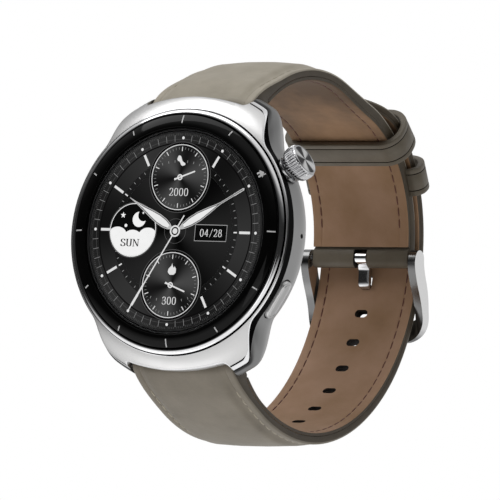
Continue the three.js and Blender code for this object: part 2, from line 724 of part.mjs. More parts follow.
const KEEPER_FREE_LOW = KEEPER_ARC + FOLD_INNER - 0.4;
const KEEPER_FREE_HIGH = TAIL_ARC + TAIL_EDGE + 1.8;
const KEEPER_FIXED_HIGH = TAIL_ARC + TAIL_EDGE + 2.5;
const FIXED_LEG = 0.5;
const fixedKeeperLow = KEEPER_ARC + 1.55;
const fixedKeeper = keeperLoop(KEEPER_FIXED_ANGLE, fixedKeeperLow, KEEPER_FIXED_HIGH,
  FIXED_LEG);

// The slot in the 12 o'clock half that the fixed keeper's inner leg is sewn into.
function keeperSlot() {
  const turn = degrees(KEEPER_FIXED_ANGLE);
  const middle = fixedKeeperLow - FIXED_LEG / 2;
  return new THREE.BoxGeometry(40, FIXED_LEG + 0.2, KEEPER_LENGTH + 0.3)
    .rotateX(turn - Math.PI).translate(0,
      KEEPER_CENTRE[0] + middle * Math.cos(turn), KEEPER_CENTRE[1] + middle * Math.sin(turn));
}

function strapTop() {
  const plain = strapFaces(topBarOffset, STRAP_EDGE, topLength);
  const faces = (length, place) => {
    const [low, high] = plain(length, place);
    const fold = smooth((length - 28) / 16);
    return [low + FOLD_INNER * fold, high + (FOLD_OUTER - STRAP_EDGE) * fold];
  };
  const rounded = (length, place) => {
    const past = length - topLength;
    if (past <= 0) {
      const near = smooth((length - (topLength - 4)) / 4);
      const [low, high] = faces(length, place);
      return [mix(low, TOP_END_OFFSET - TOP_END_HALF, near),
        mix(high, TOP_END_OFFSET + TOP_END_HALF, near)];
    }
    const half = Math.sqrt(Math.max(0.02, TOP_END_HALF ** 2 - past ** 2));
    return [TOP_END_OFFSET - half, TOP_END_OFFSET + half];
  };
  const beyond = [0.5, 0.85, 0.99].map((part) => {
    const length = part * TOP_END_HALF;
    const turn = THREE.MathUtils.radToDeg(length / KEEPER_ARC);
    return { ...station(KEEPER_CENTRE, KEEPER_ARC, TOP_END_ANGLE - turn),
      length: topLength + length };
  });
  const route = [...roundEnd(topRoute, SIDE_CENTRE), ...topRoute, ...beyond];
  const whole = ribbon(route, ACROSS, topHalfWidth, rounded);
  const lined = liningPart(topRoute, topLength - 2.1);
  const pocket = liningPocket(lined, faces);
  const lining = liningStrip(lined, topHalfWidth, faces);
  const tongueSlot = box(3, 6.3, 8, 0, buckleBar[0] - 1.65, buckleBar[1]);
  const outer = cut(whole, pocket, barHole(BAR_Y), knobWindow(BAR_Y),
    barAlongX(BUCKLE_BAR_RADIUS + 0.15, -14, 14, buckleBar[0], buckleBar[1], 16),
    tongueSlot, keeperSlot());
  return { outer, lining };
}

// Each hole is long across the strap. The hole in use is stretched by the tongue.
const HOLE_HALVES = [1.5, 0.85];
const USED_HOLE_HALVES = [2, 1.45];
function strapHoles() {
  const holes = [];
  for (let i = -HOLES_AFTER; i <= HOLES_BEFORE; i += 1) {
    const [across, along] = i === 0 ? USED_HOLE_HALVES : HOLE_HALVES;
    const angle = i < 0
      ? -90 + TAIL_TURN + HOLE_PITCH
      : -90 - (i === 0 ? USED_HOLE : FIRST_HOLE + i * HOLE_PITCH);
    const centre = i < 0 ? KEEPER_CENTRE : BOTTOM_CENTRE;
    const radius = i < 0 ? TAIL_ARC : BOTTOM_RADIUS;
    const hole = extrudeUp(capsule(2 * across, 2 * along), radius - 3, radius + 6)
      .rotateZ(Math.PI / 2)
      .rotateX(degrees(angle) - Math.PI / 2)
      .translate(0, centre[0], centre[1]);
    holes.push(hole);
  }
  return holes;
}

function strapBottom() {
  const plain = strapFaces(bottomBarOffset, STRAP_EDGE, bottomLength);
  const faces = (length, place) => {
    const [low, high] = plain(length, place);
    return [low, high - (STRAP_EDGE - TAIL_EDGE) * smooth((length - 60) / 15)];
  };
  const route = [...roundEnd(bottomRoute, BOTTOM_CENTRE), ...bottomRoute];
  const whole = ribbon(route, ACROSS, bottomHalfWidth, faces);
  const lined = liningPart(bottomRoute, bottomLength + 1);
  const pocket = liningPocket(runPast(lined), faces);
  const lining = liningStrip(lined, bottomHalfWidth, faces);
  const holes = strapHoles();
  const outer = cut(whole, pocket, barHole(-BAR_Y), knobWindow(-BAR_Y), ...holes);
  return { outer, lining: cut(lining, ...holes) };
}

const topStrap = strapTop();
place('strap_top_outer', 'leather', topStrap.outer);
place('strap_top_lining', 'lining', topStrap.lining);
const bottomStrap = strapBottom();
place('strap_bottom_outer', 'leather', bottomStrap.outer);
place('strap_bottom_lining', 'lining', bottomStrap.lining);

place('keeper_fixed', 'leather', fixedKeeper);
place('keeper_free', 'leather',
  keeperLoop(KEEPER_FREE_ANGLE, KEEPER_FREE_LOW, KEEPER_FREE_HIGH, KEEPER_WALL));

// ---------------------------------------------------------------- buckle
const ARM_INNER = 11;
const ARM_OUTER = 12.6;
const CROSSBAR_START = -11.6;         // from the bar, towards the 6 o'clock lugs
const CROSSBAR_END = -16;
const FRAME_CORNER = 4.5;
const WINDOW_CORNER = 2;
const OVER_TAIL = 0.85;               // free height between the crossbar and the tail

place('buckle_bar', 'polishedSteel',
  barAlongX(BUCKLE_BAR_RADIUS, -ARM_OUTER + 0.2, ARM_OUTER - 0.2, ...buckleBar, 20));

// The frame's side outline, as curves from the bar's end round the arm: each row holds a bend
// point and an end point, both from the bar.
const FRAME_SIDE = [
  [1.5, 1.85, -0.9, 2],
  [-2.6, 1.9, -5.9, -0.05],
  [-9.3, -2.1, -12.2, -2.2],
  [-14, -2.2, CROSSBAR_END, -1.95],
  [CROSSBAR_END, -3, CROSSBAR_END + 0.3, -3.8],
  [-13, -5.4, -9.6, -4.5],
  [-6.4, -4.1, -3.6, -2.55],
  [-1.5, -1.5, -0.3, -1.4],
  [1.4, -1.3, 1.5, 0.3]];

function buckleFrame() {
  const [barY, barZ] = buckleBar;
  const side = new THREE.Shape();
  side.moveTo(barY + 1.5, barZ + 0.3);
  for (const [bendY, bendZ, endY, endZ] of FRAME_SIDE) {
    side.quadraticCurveTo(barY + bendY, barZ + bendZ, barY + endY, barZ + endZ);
  }
  const start = barY + CROSSBAR_START;
  const end = barY + CROSSBAR_END;
  const window = new THREE.Shape();
  window.moveTo(-ARM_INNER, barY + 4);
  window.lineTo(-ARM_INNER, start + WINDOW_CORNER);
  window.quadraticCurveTo(-ARM_INNER, start, -ARM_INNER + WINDOW_CORNER, start);
  window.lineTo(ARM_INNER - WINDOW_CORNER, start);
  window.quadraticCurveTo(ARM_INNER, start, ARM_INNER, start + WINDOW_CORNER);
  window.lineTo(ARM_INNER, barY + 4);
  const corners = [-1, 1].map((hand) => {
    const corner = new THREE.Shape();
    corner.moveTo(hand * ARM_OUTER, end + FRAME_CORNER);
    corner.quadraticCurveTo(hand * ARM_OUTER, end, hand * (ARM_OUTER - FRAME_CORNER), end);
    corner.lineTo(hand * (ARM_OUTER - FRAME_CORNER), end - 2);
    corner.lineTo(hand * (ARM_OUTER + 2), end - 2);
    corner.lineTo(hand * (ARM_OUTER + 2), end + FRAME_CORNER);
    return extrudeUp(corner, barZ - 10, barZ + 10);
  });
  const overTail = BOTTOM_RADIUS + STRAP_EDGE + OVER_TAIL;
  return cut(extrudeAcross(side, -ARM_OUTER, ARM_OUTER),
    extrudeUp(window, barZ - 10, barZ + 10), ...corners,
    barAlongX(overTail, -ARM_INNER, ARM_INNER, ...BOTTOM_CENTRE, 120),
    barAlongX(BUCKLE_BAR_RADIUS + 0.15, -ARM_OUTER - 1, ARM_OUTER + 1, barY, barZ, 20));
}
place('buckle_frame', 'polishedSteel', buckleFrame());

// The tongue: an eye round the bar, along the tail's inner face, out through the used hole
// and over the crossbar. Each point is measured from the bar.
const TONGUE_PATH = [
  [-0.9, -0.3], [-2.3, -0.85], [-4.05, -1.05], [-4.9, -1.5], [-5.45, -2.5], [-5.85, -3.75],
  [-6.9, -5.05], [-10.5, -5.65], [-13.7, -5.5]];

function buckleTongue() {
  const halfWidth = 1.2;
  const half = 0.5;
  const [barY, barZ] = buckleBar;
  const path = TONGUE_PATH.map(([y, z]) => [barY + y, barZ + z]);
  const loops = path.map(([y, z], i) => {
    const before = path[Math.max(0, i - 1)];
    const after = path[Math.min(path.length - 1, i + 1)];
    const along = new THREE.Vector2(after[0] - before[0], after[1] - before[1]).normalize();
    const width = i === path.length - 1 ? halfWidth * 0.7 : halfWidth;
    const corner = (x, side) =>
      new THREE.Vector3(x, y - along.y * side * half, z + along.x * side * half);
    return [corner(-width, -1), corner(width, -1), corner(width, 1), corner(-width, 1)];
  });
  const eye = barAlongX(1.25, -halfWidth, halfWidth, barY, barZ, 20);
  return cut(join(loft(loops), eye),
    barAlongX(BUCKLE_BAR_RADIUS + 0.12, -4, 4, barY, barZ, 16));
}
place('buckle_tongue', 'polishedSteel', buckleTongue());

export default watch;
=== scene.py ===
"""Looks for a round smartwatch on a buckled leather strap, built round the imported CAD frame."""

import math

import bmesh
import bpy
import numpy as np
from mathutils import Matrix, Vector


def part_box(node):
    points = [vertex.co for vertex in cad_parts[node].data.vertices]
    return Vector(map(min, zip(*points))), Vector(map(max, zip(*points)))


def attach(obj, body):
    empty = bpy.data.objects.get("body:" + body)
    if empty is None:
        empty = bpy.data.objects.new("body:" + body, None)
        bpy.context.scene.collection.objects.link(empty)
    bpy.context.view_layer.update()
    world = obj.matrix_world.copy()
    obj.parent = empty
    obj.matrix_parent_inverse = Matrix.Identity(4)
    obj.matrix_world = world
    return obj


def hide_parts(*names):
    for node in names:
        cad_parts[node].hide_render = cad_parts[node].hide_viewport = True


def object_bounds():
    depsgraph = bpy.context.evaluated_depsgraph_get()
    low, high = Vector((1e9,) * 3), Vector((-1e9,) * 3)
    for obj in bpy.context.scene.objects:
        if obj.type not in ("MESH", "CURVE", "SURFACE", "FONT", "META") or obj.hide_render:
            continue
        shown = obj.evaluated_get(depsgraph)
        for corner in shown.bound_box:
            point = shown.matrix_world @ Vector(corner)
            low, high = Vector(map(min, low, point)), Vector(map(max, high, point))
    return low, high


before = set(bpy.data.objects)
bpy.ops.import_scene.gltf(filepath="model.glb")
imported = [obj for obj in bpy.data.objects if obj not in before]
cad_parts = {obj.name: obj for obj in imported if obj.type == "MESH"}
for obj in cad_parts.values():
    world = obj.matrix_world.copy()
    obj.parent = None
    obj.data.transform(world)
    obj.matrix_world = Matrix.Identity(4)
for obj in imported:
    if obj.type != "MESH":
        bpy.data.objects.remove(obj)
CAD_LOW, CAD_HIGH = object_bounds()
MM = 0.001


# ---- camera
def make_camera():
    right = Vector((0.85484, 0.07432, -0.51355))
    up = Vector((-0.00688, 0.99122, 0.13201))
    back = Vector((0.51885, -0.10931, 0.84785))
    place = Vector((0.84198, -0.17733, 1.36041))
    data = bpy.data.cameras.new("camera")
    data.sensor_width = 36
    data.lens = 627.3
    data.clip_start = 0.05
    data.clip_end = 50
    camera = bpy.data.objects.new("camera", data)
    bpy.context.scene.collection.objects.link(camera)
    rows = [[right[i], up[i], back[i], place[i]] for i in range(3)]
    camera.matrix_world = Matrix([*rows, [0, 0, 0, 1]])
    bpy.context.scene.camera = camera


make_camera()


# ---- small maths
def smooth(t):
    t = np.clip(t, 0, 1)
    return t * t * (3 - 2 * t)


def mix(a, b, t):
    return a + (b - a) * t


def polar(radius, degrees):
    angle = math.radians(degrees)
    return radius * math.cos(angle), radius * math.sin(angle)


def bezier(a, b, c, steps):
    """Points of a quadratic curve from a to c, without its first point."""
    out = []
    for i in range(1, steps + 1):
        t = i / steps
        out.append(tuple((1 - t) ** 2 * p + 2 * t * (1 - t) * q + t * t * r
                         for p, q, r in zip(a, b, c)))
    return out


def fillet(outline, radius, steps=3):
    """A closed outline with every corner rounded."""
    points = [Vector(p) for p in outline]
    out = []
    for i, here in enumerate(points):
        before = points[i - 1] - here
        after = points[(i + 1) % len(points)] - here
        reach = min(radius, before.length * 0.49, after.length * 0.49)
        start = here + before.normalized() * reach
        end = here + after.normalized() * reach
        out.append(tuple(start))
        out.extend(bezier(start, here, end, steps))
    return out


# ---- shapes, in millimetres
# A shape is (points, faces, material number of each face).
def shape(points, faces, finish=0):
    return np.asarray(points, float), faces, [finish] * len(faces)


def together(*shapes):
    points = []
    faces = []
    numbers = []
    start = 0
    for part_points, part_faces, part_numbers in shapes:
        points.append(part_points)
        faces.extend([tuple(i + start for i in face) for face in part_faces])
        numbers.extend(part_numbers)
        start += len(part_points)
    return np.vstack(points), faces, numbers


def moved(part, matrix):
    points = np.c_[part[0], np.ones(len(part[0]))] @ np.array(matrix).T
    return points[:, :3], part[1], part[2]


def shifted(part, x=0.0, y=0.0, z=0.0):
    return part[0] + np.array([x, y, z]), part[1], part[2]


def lathe(profile, segments=128):
    """A profile of (radius, height) turned about Z. It closes on itself unless it starts on the axis."""
    closed = profile[0][0] > 1e-6
    points = []
    rings = []
    for radius, height in profile:
        start = len(points)
        if radius < 1e-6:
            points.append((0, 0, height))
            rings.append([start])
            continue
        for k in range(segments):
            angle = 2 * math.pi * k / segments
            points.append((radius * math.cos(angle), radius * math.sin(angle), height))
        rings.append(list(range(start, start + segments)))
    pairs = list(zip(rings, rings[1:]))
    if closed:
        pairs.append((rings[-1], rings[0]))
    faces = []
    for low, high in pairs:
        for k in range(segments):
            n = (k + 1) % segments
            if len(low) == 1 and len(high) == 1:
                continue
            if len(low) == 1:
                faces.append((low[0], high[n], high[k]))
            elif len(high) == 1:
                faces.append((low[k], low[n], high[0]))
            else:
                faces.append((low[k], low[n], high[n], high[k]))
    return shape(points, faces)


def disc(radius, low, high, segments=64):
    return lathe([(0, low), (radius, low), (radius, high), (0, high)], segments)


def ring(inner, outer, low, high, segments=128):
    return lathe([(inner, low), (outer, low), (outer, high), (inner, high)], segments)


def extrude(outline, low, high, finish=0):
    """A plan outline of (x, y) between two heights."""
    count = len(outline)
    points = [(x, y, low) for x, y in outline] + [(x, y, high) for x, y in outline]
    faces = [tuple(range(count))[::-1], tuple(range(count, 2 * count))]
    for i in range(count):
        n = (i + 1) % count
        faces.append((i, n, n + count, i + count))
    return shape(points, faces, finish)


def block(size, centre, finish=0):
    hx, hy = size[0] / 2, size[1] / 2
    outline = [(-hx, -hy), (hx, -hy), (hx, hy), (-hx, hy)]
    part = extrude(outline, -size[2] / 2, size[2] / 2, finish)
    return shifted(part, *centre)


def loft(loops, closed=False, finish=0, side_finish=None, cap_finish=None):
    """A skin through loops of equally many points. side_finish numbers the strips of a loop."""
    count = len(loops[0])
    points = np.vstack([np.asarray(loop, float) for loop in loops])
    faces = []
    numbers = []
    spans = len(loops) if closed else len(loops) - 1
    for i in range(spans):
        here = i * count
        after = ((i + 1) % len(loops)) * count
        for j in range(count):
            k = (j + 1) % count
            faces.append((here + j, here + k, after + k, after + j))
            numbers.append(side_finish[j] if side_finish else finish)
    if not closed:
        last = (len(loops) - 1) * count
        end = finish if cap_finish is None else cap_finish
        faces.append(tuple(range(count))[::-1])
        faces.append(tuple(range(last, last + count)))
        numbers.extend([end, end])
    return points, faces, numbers


def along_x(radius, start, end, y, z, segments=32):
    part = disc(radius, start, end, segments)
    points = part[0][:, [2, 0, 1]] + np.array([0, y, z])
    return points, part[1], part[2]


def side_extrude(outline, start, end):
    """A side outline of (y, z) between two places along X."""
    part = extrude(outline, start, end)
    return part[0][:, [2, 0, 1]], part[1], part[2]


def outward_matrix(angle, height):
    """Turns what is made about +Z so that it points out of the case at an angle and a height."""
    return (Matrix.Translation((0, 0, height)) @ Matrix.Rotation(math.radians(angle), 4, "Z")
            @ Matrix.Rotation(math.pi / 2, 4, "Y"))


def capsule_outline(length, width, steps=16):
    radius = width / 2
    straight = length / 2 - radius
    points = []
    for centre, first in ((straight, 0), (-straight, 180)):
        for i in range(steps + 1):
            x, y = polar(radius, first + 180 * i / steps)
            points.append((x, y + centre))
    return points


BEVEL_ANGLE = 40


def mesh_from(name, part, materials):
    points, faces, numbers = part
    mesh = bpy.data.meshes.new(name)
    mesh.from_pydata((points * MM).tolist(), [], [list(face) for face in faces])
    for item in materials:
        mesh.materials.append(item)
    mesh.polygons.foreach_set("material_index", numbers)
    work = bmesh.new()
    work.from_mesh(mesh)
    bmesh.ops.recalc_face_normals(work, faces=work.faces)
    work.to_mesh(mesh)
    work.free()
    mesh.update()
    return mesh


def link(name, mesh):
    item = bpy.data.objects.new(name, mesh)
    bpy.context.scene.collection.objects.link(item)
    return item


def carve(item, cutters, materials):
    """Cuts shapes out of an object and keeps the result as its mesh."""
    tools = []
    for number, part in enumerate(cutters):
        tool = link(f"cutter_{number}", mesh_from(f"cutter_{number}", part, materials))
        modifier = item.modifiers.new(f"cut_{number}", "BOOLEAN")
        modifier.operation = "DIFFERENCE"
        modifier.solver = "MANIFOLD"
        modifier.object = tool
        tools.append(tool)
    bpy.context.view_layer.update()
    graph = bpy.context.evaluated_depsgraph_get()
    mesh = bpy.data.meshes.new_from_object(item.evaluated_get(graph))
    item.modifiers.clear()
    item.data = mesh
    for tool in tools:
        bpy.data.objects.remove(tool)


def piece(name, part, body, materials, stands_for=(), cutters=(), sharp=32, bevel=0.0):
    """Makes one visible piece, which moves with a body of the frame."""
    materials = materials if isinstance(materials, list) else [materials]
    item = link(name, mesh_from(name, part, materials))
    if cutters:
        carve(item, cutters, materials)
    mesh = item.data
    mesh.polygons.foreach_set("use_smooth", [True] * len(mesh.polygons))
    mesh.set_sharp_from_angle(angle=math.radians(sharp))
    if bevel:
        modifier = item.modifiers.new("edges", "BEVEL")
        modifier.width = bevel * MM
        modifier.segments = 3
        modifier.limit_method = "ANGLE"
        modifier.angle_limit = math.radians(BEVEL_ANGLE)
        modifier.harden_normals = True
    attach(item, body)
    if stands_for:
        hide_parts(*stands_for)
    return item


# ---- materials
class Nodes:
    """A node tree, with helpers for its procedural parts."""

    def __init__(self, tree):
        self.tree = tree

    def link(self, out, into):
        self.tree.links.new(out, into)

    def node(self, kind, inputs=(), **settings):
        """Adds a node. Each input is a value or the output of another node."""
        made = self.tree.nodes.new("ShaderNode" + kind)
        for name, value in settings.items():
            setattr(made, name, value)
        for name, value in dict(inputs).items():
            if isinstance(value, bpy.types.NodeSocket):
                self.link(value, made.inputs[name])
            else:
                made.inputs[name].default_value = value
        return made

    def maths(self, operation, *values):
        return self.node("Math", enumerate(values), operation=operation).outputs["Value"]

    def split(self, vector):
        return self.node("SeparateXYZ", {"Vector": vector}).outputs

    def ramp(self, value, stops):
        node = self.node("ValToRGB", {"Fac": value})
        elements = node.color_ramp.elements
        while len(elements) < len(stops):
            elements.new(0.5)
        for element, (place, color) in zip(elements, stops):
            element.position = place
            element.color = (*color, 1)
        return node.outputs["Color"]


class Finish(Nodes):
    """A Principled material in frame coordinates."""

    def __init__(self, name, color, roughness, metallic=0.0, **sockets):
        self.material = bpy.data.materials.new(name)
        self.material.use_nodes = True
        super().__init__(self.material.node_tree)
        self.shader = self.tree.nodes["Principled BSDF"]
        sockets.update(Base_Color=(*color, 1), Roughness=roughness, Metallic=metallic)
        for socket, value in sockets.items():
            self.shader.inputs[socket.replace("_", " ")].default_value = value
        self.where = self.node("TexCoord").outputs["Object"]

    def noise(self, size_mm, detail=3.0, roughness=0.55):
        return self.node("TexNoise", {"Vector": self.where, "Scale": 1 / (size_mm * MM),
                                      "Detail": detail, "Roughness": roughness}).outputs["Fac"]

    def tint(self, value, stops, socket="Base Color"):
        self.link(self.ramp(value, stops), self.shader.inputs[socket])

    def rough(self, value, low, high):
        made = self.node("MapRange", {"Value": value, "To Min": low, "To Max": high})
        self.link(made.outputs["Result"], self.shader.inputs["Roughness"])

    def bump(self, height, strength, depth_mm):
        made = self.node("Bump", {"Height": height, "Strength": strength,
                                  "Distance": depth_mm * MM})
        self.link(made.outputs["Normal"], self.shader.inputs["Normal"])


def grey(value):
    return (value, value, value)


def metal(name, color, roughness, grain_mm, grain):
    made = Finish(name, color, roughness, 1.0)
    fine = made.noise(grain_mm, 2.0)
    made.rough(made.noise(3.0, 2.0), roughness * 0.85, roughness * 1.2)
    made.tint(fine, [(0.3, [c * 0.95 for c in color]), (0.7, [min(1, c * 1.04) for c in color])])
    if grain:
        made.bump(fine, grain, 0.01)
    return made.material


def plastic(name, color, roughness, grain=0.15, grain_mm=0.15, **sockets):
    made = Finish(name, color, roughness, 0.0, **sockets)
    fine = made.noise(grain_mm, 2.0)
    made.tint(made.noise(2.5), [(0.3, [c * 0.85 for c in color]), (0.7, [c * 1.15 for c in color])])
    made.rough(fine, roughness * 0.85, min(1.0, roughness * 1.15))
    if grain:
        made.bump(fine, grain, 0.02)
    return made.material


SATIN = metal("satin_steel", (0.63, 0.627, 0.625), 0.34, 0.06, 0.08)
POLISHED = metal("polished_steel", (0.82, 0.82, 0.83), 0.08, 0.4, 0.0)
DIM_STEEL = metal("dim_steel", (0.56, 0.56, 0.57), 0.12, 0.5, 0.02)
BLACK_GLOSS = plastic("black_ceramic", (0.002, 0.002, 0.002), 0.06, 0.0, Specular_IOR_Level=0.16)
# Near-black paint for the case's painted shadow line and ledge shade, and for the black band painted on
# the flank as a dark reflection.
DARK_PAINTED_SHADE_AND_REFLECTION = plastic("painted_shade_and_reflection", (0.0008, 0.0008, 0.0008), 0.4, 0.0, Specular_IOR_Level=0.02)
BLACK_PLASTIC = plastic("black_plastic", (0.016, 0.016, 0.017), 0.5)
RUBBER = plastic("rubber", (0.012, 0.012, 0.012), 0.8, 0.3)
BOARD = plastic("circuit_board", (0.02, 0.09, 0.045), 0.45, 0.3, 0.4)
COPPER = metal("copper_film", (0.6, 0.3, 0.14), 0.35, 0.5, 0.1)
FOIL = metal("foil", (0.55, 0.56, 0.57), 0.38, 0.8, 0.3)
GOLD = metal("gold", (0.85, 0.62, 0.25), 0.18, 0.3, 0.0)


def painted_reflection_steel(name, axis, stops, roughness):
    """Steel with painted reflections: its tone follows how far its surface leans along an axis, standing
    in for the light and dark that it would reflect.
    """
    made = Finish(name, grey(0.5), roughness, 1.0)
    lean = made.split(made.node("TexCoord").outputs["Normal"])[axis]
    if axis == "X":
        value = made.maths("ABSOLUTE", lean)
    else:
        value = made.maths("MULTIPLY_ADD", lean, 0.5, 0.5)
    made.tint(value, stops)
    made.rough(made.noise(3.0, 2.0), roughness * 0.85, roughness * 1.2)
    return made.material


# The flank's tone is a painted reflection: it darkens to black where the surface leans up, as if
# reflecting dark surroundings.
FLANK_PAINTED_REFLECTION = painted_reflection_steel("flank_painted_reflection", "Z", [(0.30, grey(0.60)), (0.48, grey(0.42)), (0.56, grey(0.33)),
                                       (0.66, grey(0.20)), (0.72, grey(0.06)), (0.79, grey(0.004))],
                  0.33)
# The buckle's tone is a painted reflection: faces turned along X are painted bright as a highlight, the
# others dark.
BUCKLE_PAINTED_REFLECTION = painted_reflection_steel("buckle_steel", "X", [(0.0, grey(0.21)), (0.6, grey(0.30)),
                                               (0.85, grey(0.92))], 0.16)


def painted_fan_highlight(name, place, stops, blades, turn):
    """Steel brushed outward from a point, with painted highlights: fans light and dark in turn, and one
    side lighter, stand in for the reflection of the brushing; a fine grain runs round them.
    """
    made = Finish(name, grey(0.5), 0.24, 1.0)
    middle = place @ Vector((0, 0, 0))
    reach = made.node("VectorMath", {0: made.where, 1: middle * MM}, operation="SUBTRACT")
    parts = []
    for axis in ((1, 0, 0), (0, 1, 0)):
        dot = made.node("VectorMath", {0: reach.outputs["Vector"], 1: place.to_3x3() @ Vector(axis)},
                        operation="DOT_PRODUCT")
        parts.append(dot.outputs["Value"])
    angle = made.maths("ARCTAN2", parts[1], parts[0])
    level = 0.5
    for speed, shift, depth in ((blades, turn, 0.36), (1.0, 0.6, 0.10), (90.0, -math.pi / 2, 0.05)):
        wave = made.maths("COSINE", made.maths("MULTIPLY_ADD", angle, speed, shift))
        level = made.maths("MULTIPLY_ADD", wave, depth, level)
    made.tint(level, stops)
    return made.material


def make_glass():
    made = Finish("cover_glass", grey(0.01), 0.02, 0.0, Alpha=0.03, Specular_IOR_Level=0.25)
    made.rough(made.noise(4.0), 0.015, 0.03)
    return made.material


GLASS = make_glass()


# The lining gets painted shade towards 12 o'clock, near the case, between these places, in metres.
SHADE_START = 0.016
SHADE_END = 0.031


def make_leather(name, dark, light, roughness, mottle_mm=7.0, shade_top=0.0):
    made = Finish(name, light, roughness, 0.0, Specular_IOR_Level=0.35, Sheen_Weight=0.12,
                  Sheen_Roughness=0.5)
    cloud = made.noise(mottle_mm, 4.0, 0.6)
    cells = made.node("TexVoronoi", {"Vector": made.where, "Scale": 1 / (0.42 * MM)},
                      feature="SMOOTH_F1")
    pores = made.noise(0.16, 3.0)
    # Painted shade: the leather darkens towards the case.
    if shade_top:
        near = made.node("MapRange", {"Value": made.split(made.where)["Y"],
                                      "From Min": SHADE_START, "From Max": SHADE_END,
                                      "To Max": -shade_top})
        cloud = made.maths("ADD", cloud, near.outputs["Result"])
    made.tint(cloud, [(0.0, [c * 0.4 for c in dark]), (0.32, dark), (0.68, light)])
    made.rough(made.noise(3.0), roughness * 0.88, min(1.0, roughness * 1.12))
    made.bump(made.maths("MULTIPLY_ADD", pores, 0.5, cells.outputs["Distance"]), 0.35, 0.05)
    return made.material


# Lit and shaded copies of one leather: the top strap's is lighter as painted light, the bottom strap's
# darker as painted shade.
LEATHER = make_leather("leather", (0.345, 0.308, 0.240), (0.440, 0.395, 0.315), 0.48)
LEATHER_PAINTED_SHADE = make_leather("leather_painted_shade", (0.160, 0.137, 0.103), (0.208, 0.180, 0.138), 0.48)
LINING = make_leather("lining", (0.300, 0.174, 0.090), (0.430, 0.265, 0.172), 0.72, 16.0, 0.44)
# A darker copy of the leather: painted shade on the fold round the buckle bar, and the keepers' leather.
SHADED_LEATHER = make_leather("shaded_leather", (0.108, 0.090, 0.063), (0.150, 0.127, 0.093), 0.5)
EDGE_PAINT = plastic("edge_paint", (0.058, 0.043, 0.025), 0.55, 0.25, 0.3)
# Near-black painted shade for the walls of holes and slots and for the keepers' creases.
RECESS_PAINTED_SHADE = plastic("recess_painted_shade", (0.012, 0.007, 0.004), 0.8, 0.25, 0.3)


def make_thread(name, color):
    made = Finish(name, color, 0.7, 0.0, Specular_IOR_Level=0.3, Sheen_Weight=0.3)
    twist = made.noise(0.12, 2.0)
    made.tint(twist, [(0.3, [c * 0.6 for c in color]), (0.7, [min(1, c * 1.25) for c in color])])
    made.bump(twist, 0.6, 0.04)
    return made.material


THREAD = make_thread("thread", (0.38, 0.34, 0.26))
THREAD_DARK = make_thread("thread_dark", (0.13, 0.045, 0.030))


# The lit display: every mark gives off its own light.
def lit(name, value):
    made = Finish(name, grey(0.0), 0.5, 0.0, Specular_IOR_Level=0.0, Emission_Strength=1.0)
    made.tint(made.noise(1.5), [(0.3, grey(value * 0.96)), (0.7, grey(value))], "Emission Color")
    return made.material


def lit_fan(name, low, high, centre=(0, 0), turn=-7, hatch=0.0):
    """Display shading that fans round a centre, darker and lighter in turn."""
    made = Finish(name, grey(0.0), 0.5, 0.0, Specular_IOR_Level=0.0, Emission_Strength=1.0)
    move = made.node("Mapping", {"Vector": made.where,
                                 "Location": (-centre[0] * MM, -centre[1] * MM, 0)})
    place = made.split(move.outputs["Vector"])
    angle = made.maths("ARCTAN2", place["Y"], place["X"])
    waves = made.maths("COSINE", made.maths("MULTIPLY_ADD", angle, FAN_BLADES,
                                            -FAN_BLADES * math.radians(turn)))
    level = made.maths("MULTIPLY_ADD", waves, 0.5, 0.5)
    if hatch:
        length = made.node("VectorMath", {0: move.outputs["Vector"]}, operation="LENGTH")
        rings = made.maths("SINE", made.maths("MULTIPLY", length.outputs["Value"],
                                              2 * math.pi / (HATCH_STEP * MM)))
        fine = made.maths("SINE", made.maths("MULTIPLY", angle, HATCH_SPOKES))
        level = made.maths("MULTIPLY_ADD", made.maths("MULTIPLY", fine, rings), hatch, level)
    made.tint(level, [(0.0, grey(low)), (1.0, grey(high))], "Emission Color")
    return made.material


FAN_BLADES = 3.0
HATCH_STEP = 0.4
HATCH_SPOKES = 360.0
WHITE = lit("dial_white", 0.80)
PALE = lit("dial_pale", 0.42)
MID = lit("dial_mid", 0.25)
DIM = lit("dial_dim", 0.10)
INK = lit("dial_ink", 0.012)
BLACK = lit("dial_black", 0.0035)


# ---- case
CASE_RADIUS = 23.5
CASE_BOTTOM = 2.3
DOME_CENTRE_RADIUS = 20.5
DOME_CENTRE_HEIGHT = 3.5
DOME_ARC = 7.1
RECESS_RADIUS = 22.95
LEDGE_RADIUS = 19.5
LEDGE_TOP = 9.5
CAVITY_RADIUS = 20.6
CAVITY_TOP = 8.5
LUG_HALF = 11.1
LUG_TOP_REACH = 27.25
LUG_FLANK_REACH = 27.95
HOOD_EDGE = 25.4
HOOD_ARC = 35
HOOD_UNDERSIDE = 6.6
POCKET_START = 21.75
BAR_Y = 24
BAR_Z = 3.6
CROWN_ANGLE = 30.5
CROWN_HEIGHT = 6.6
KEY_ANGLE = -CROWN_ANGLE
KEY_HEIGHT = 6.4


def dome(radius):
    inside = np.maximum(0.0, DOME_ARC ** 2 - (radius - DOME_CENTRE_RADIUS) ** 2)
    return DOME_CENTRE_HEIGHT + np.sqrt(inside)


def quarter(angle):
    folded = abs(((angle + 180) % 360) - 180)
    return 180 - folded if folded > 90 else folded


CASE_STEPS = 480
TOP_SHARES = (0, 0.12, 0.25, 0.4, 0.55, 0.7, 0.85, 1)
FLANK_SHARES = (0.07, 0.16, 0.28, 0.42, 0.56, 0.7, 0.82, 0.9, 0.96, 1.0)
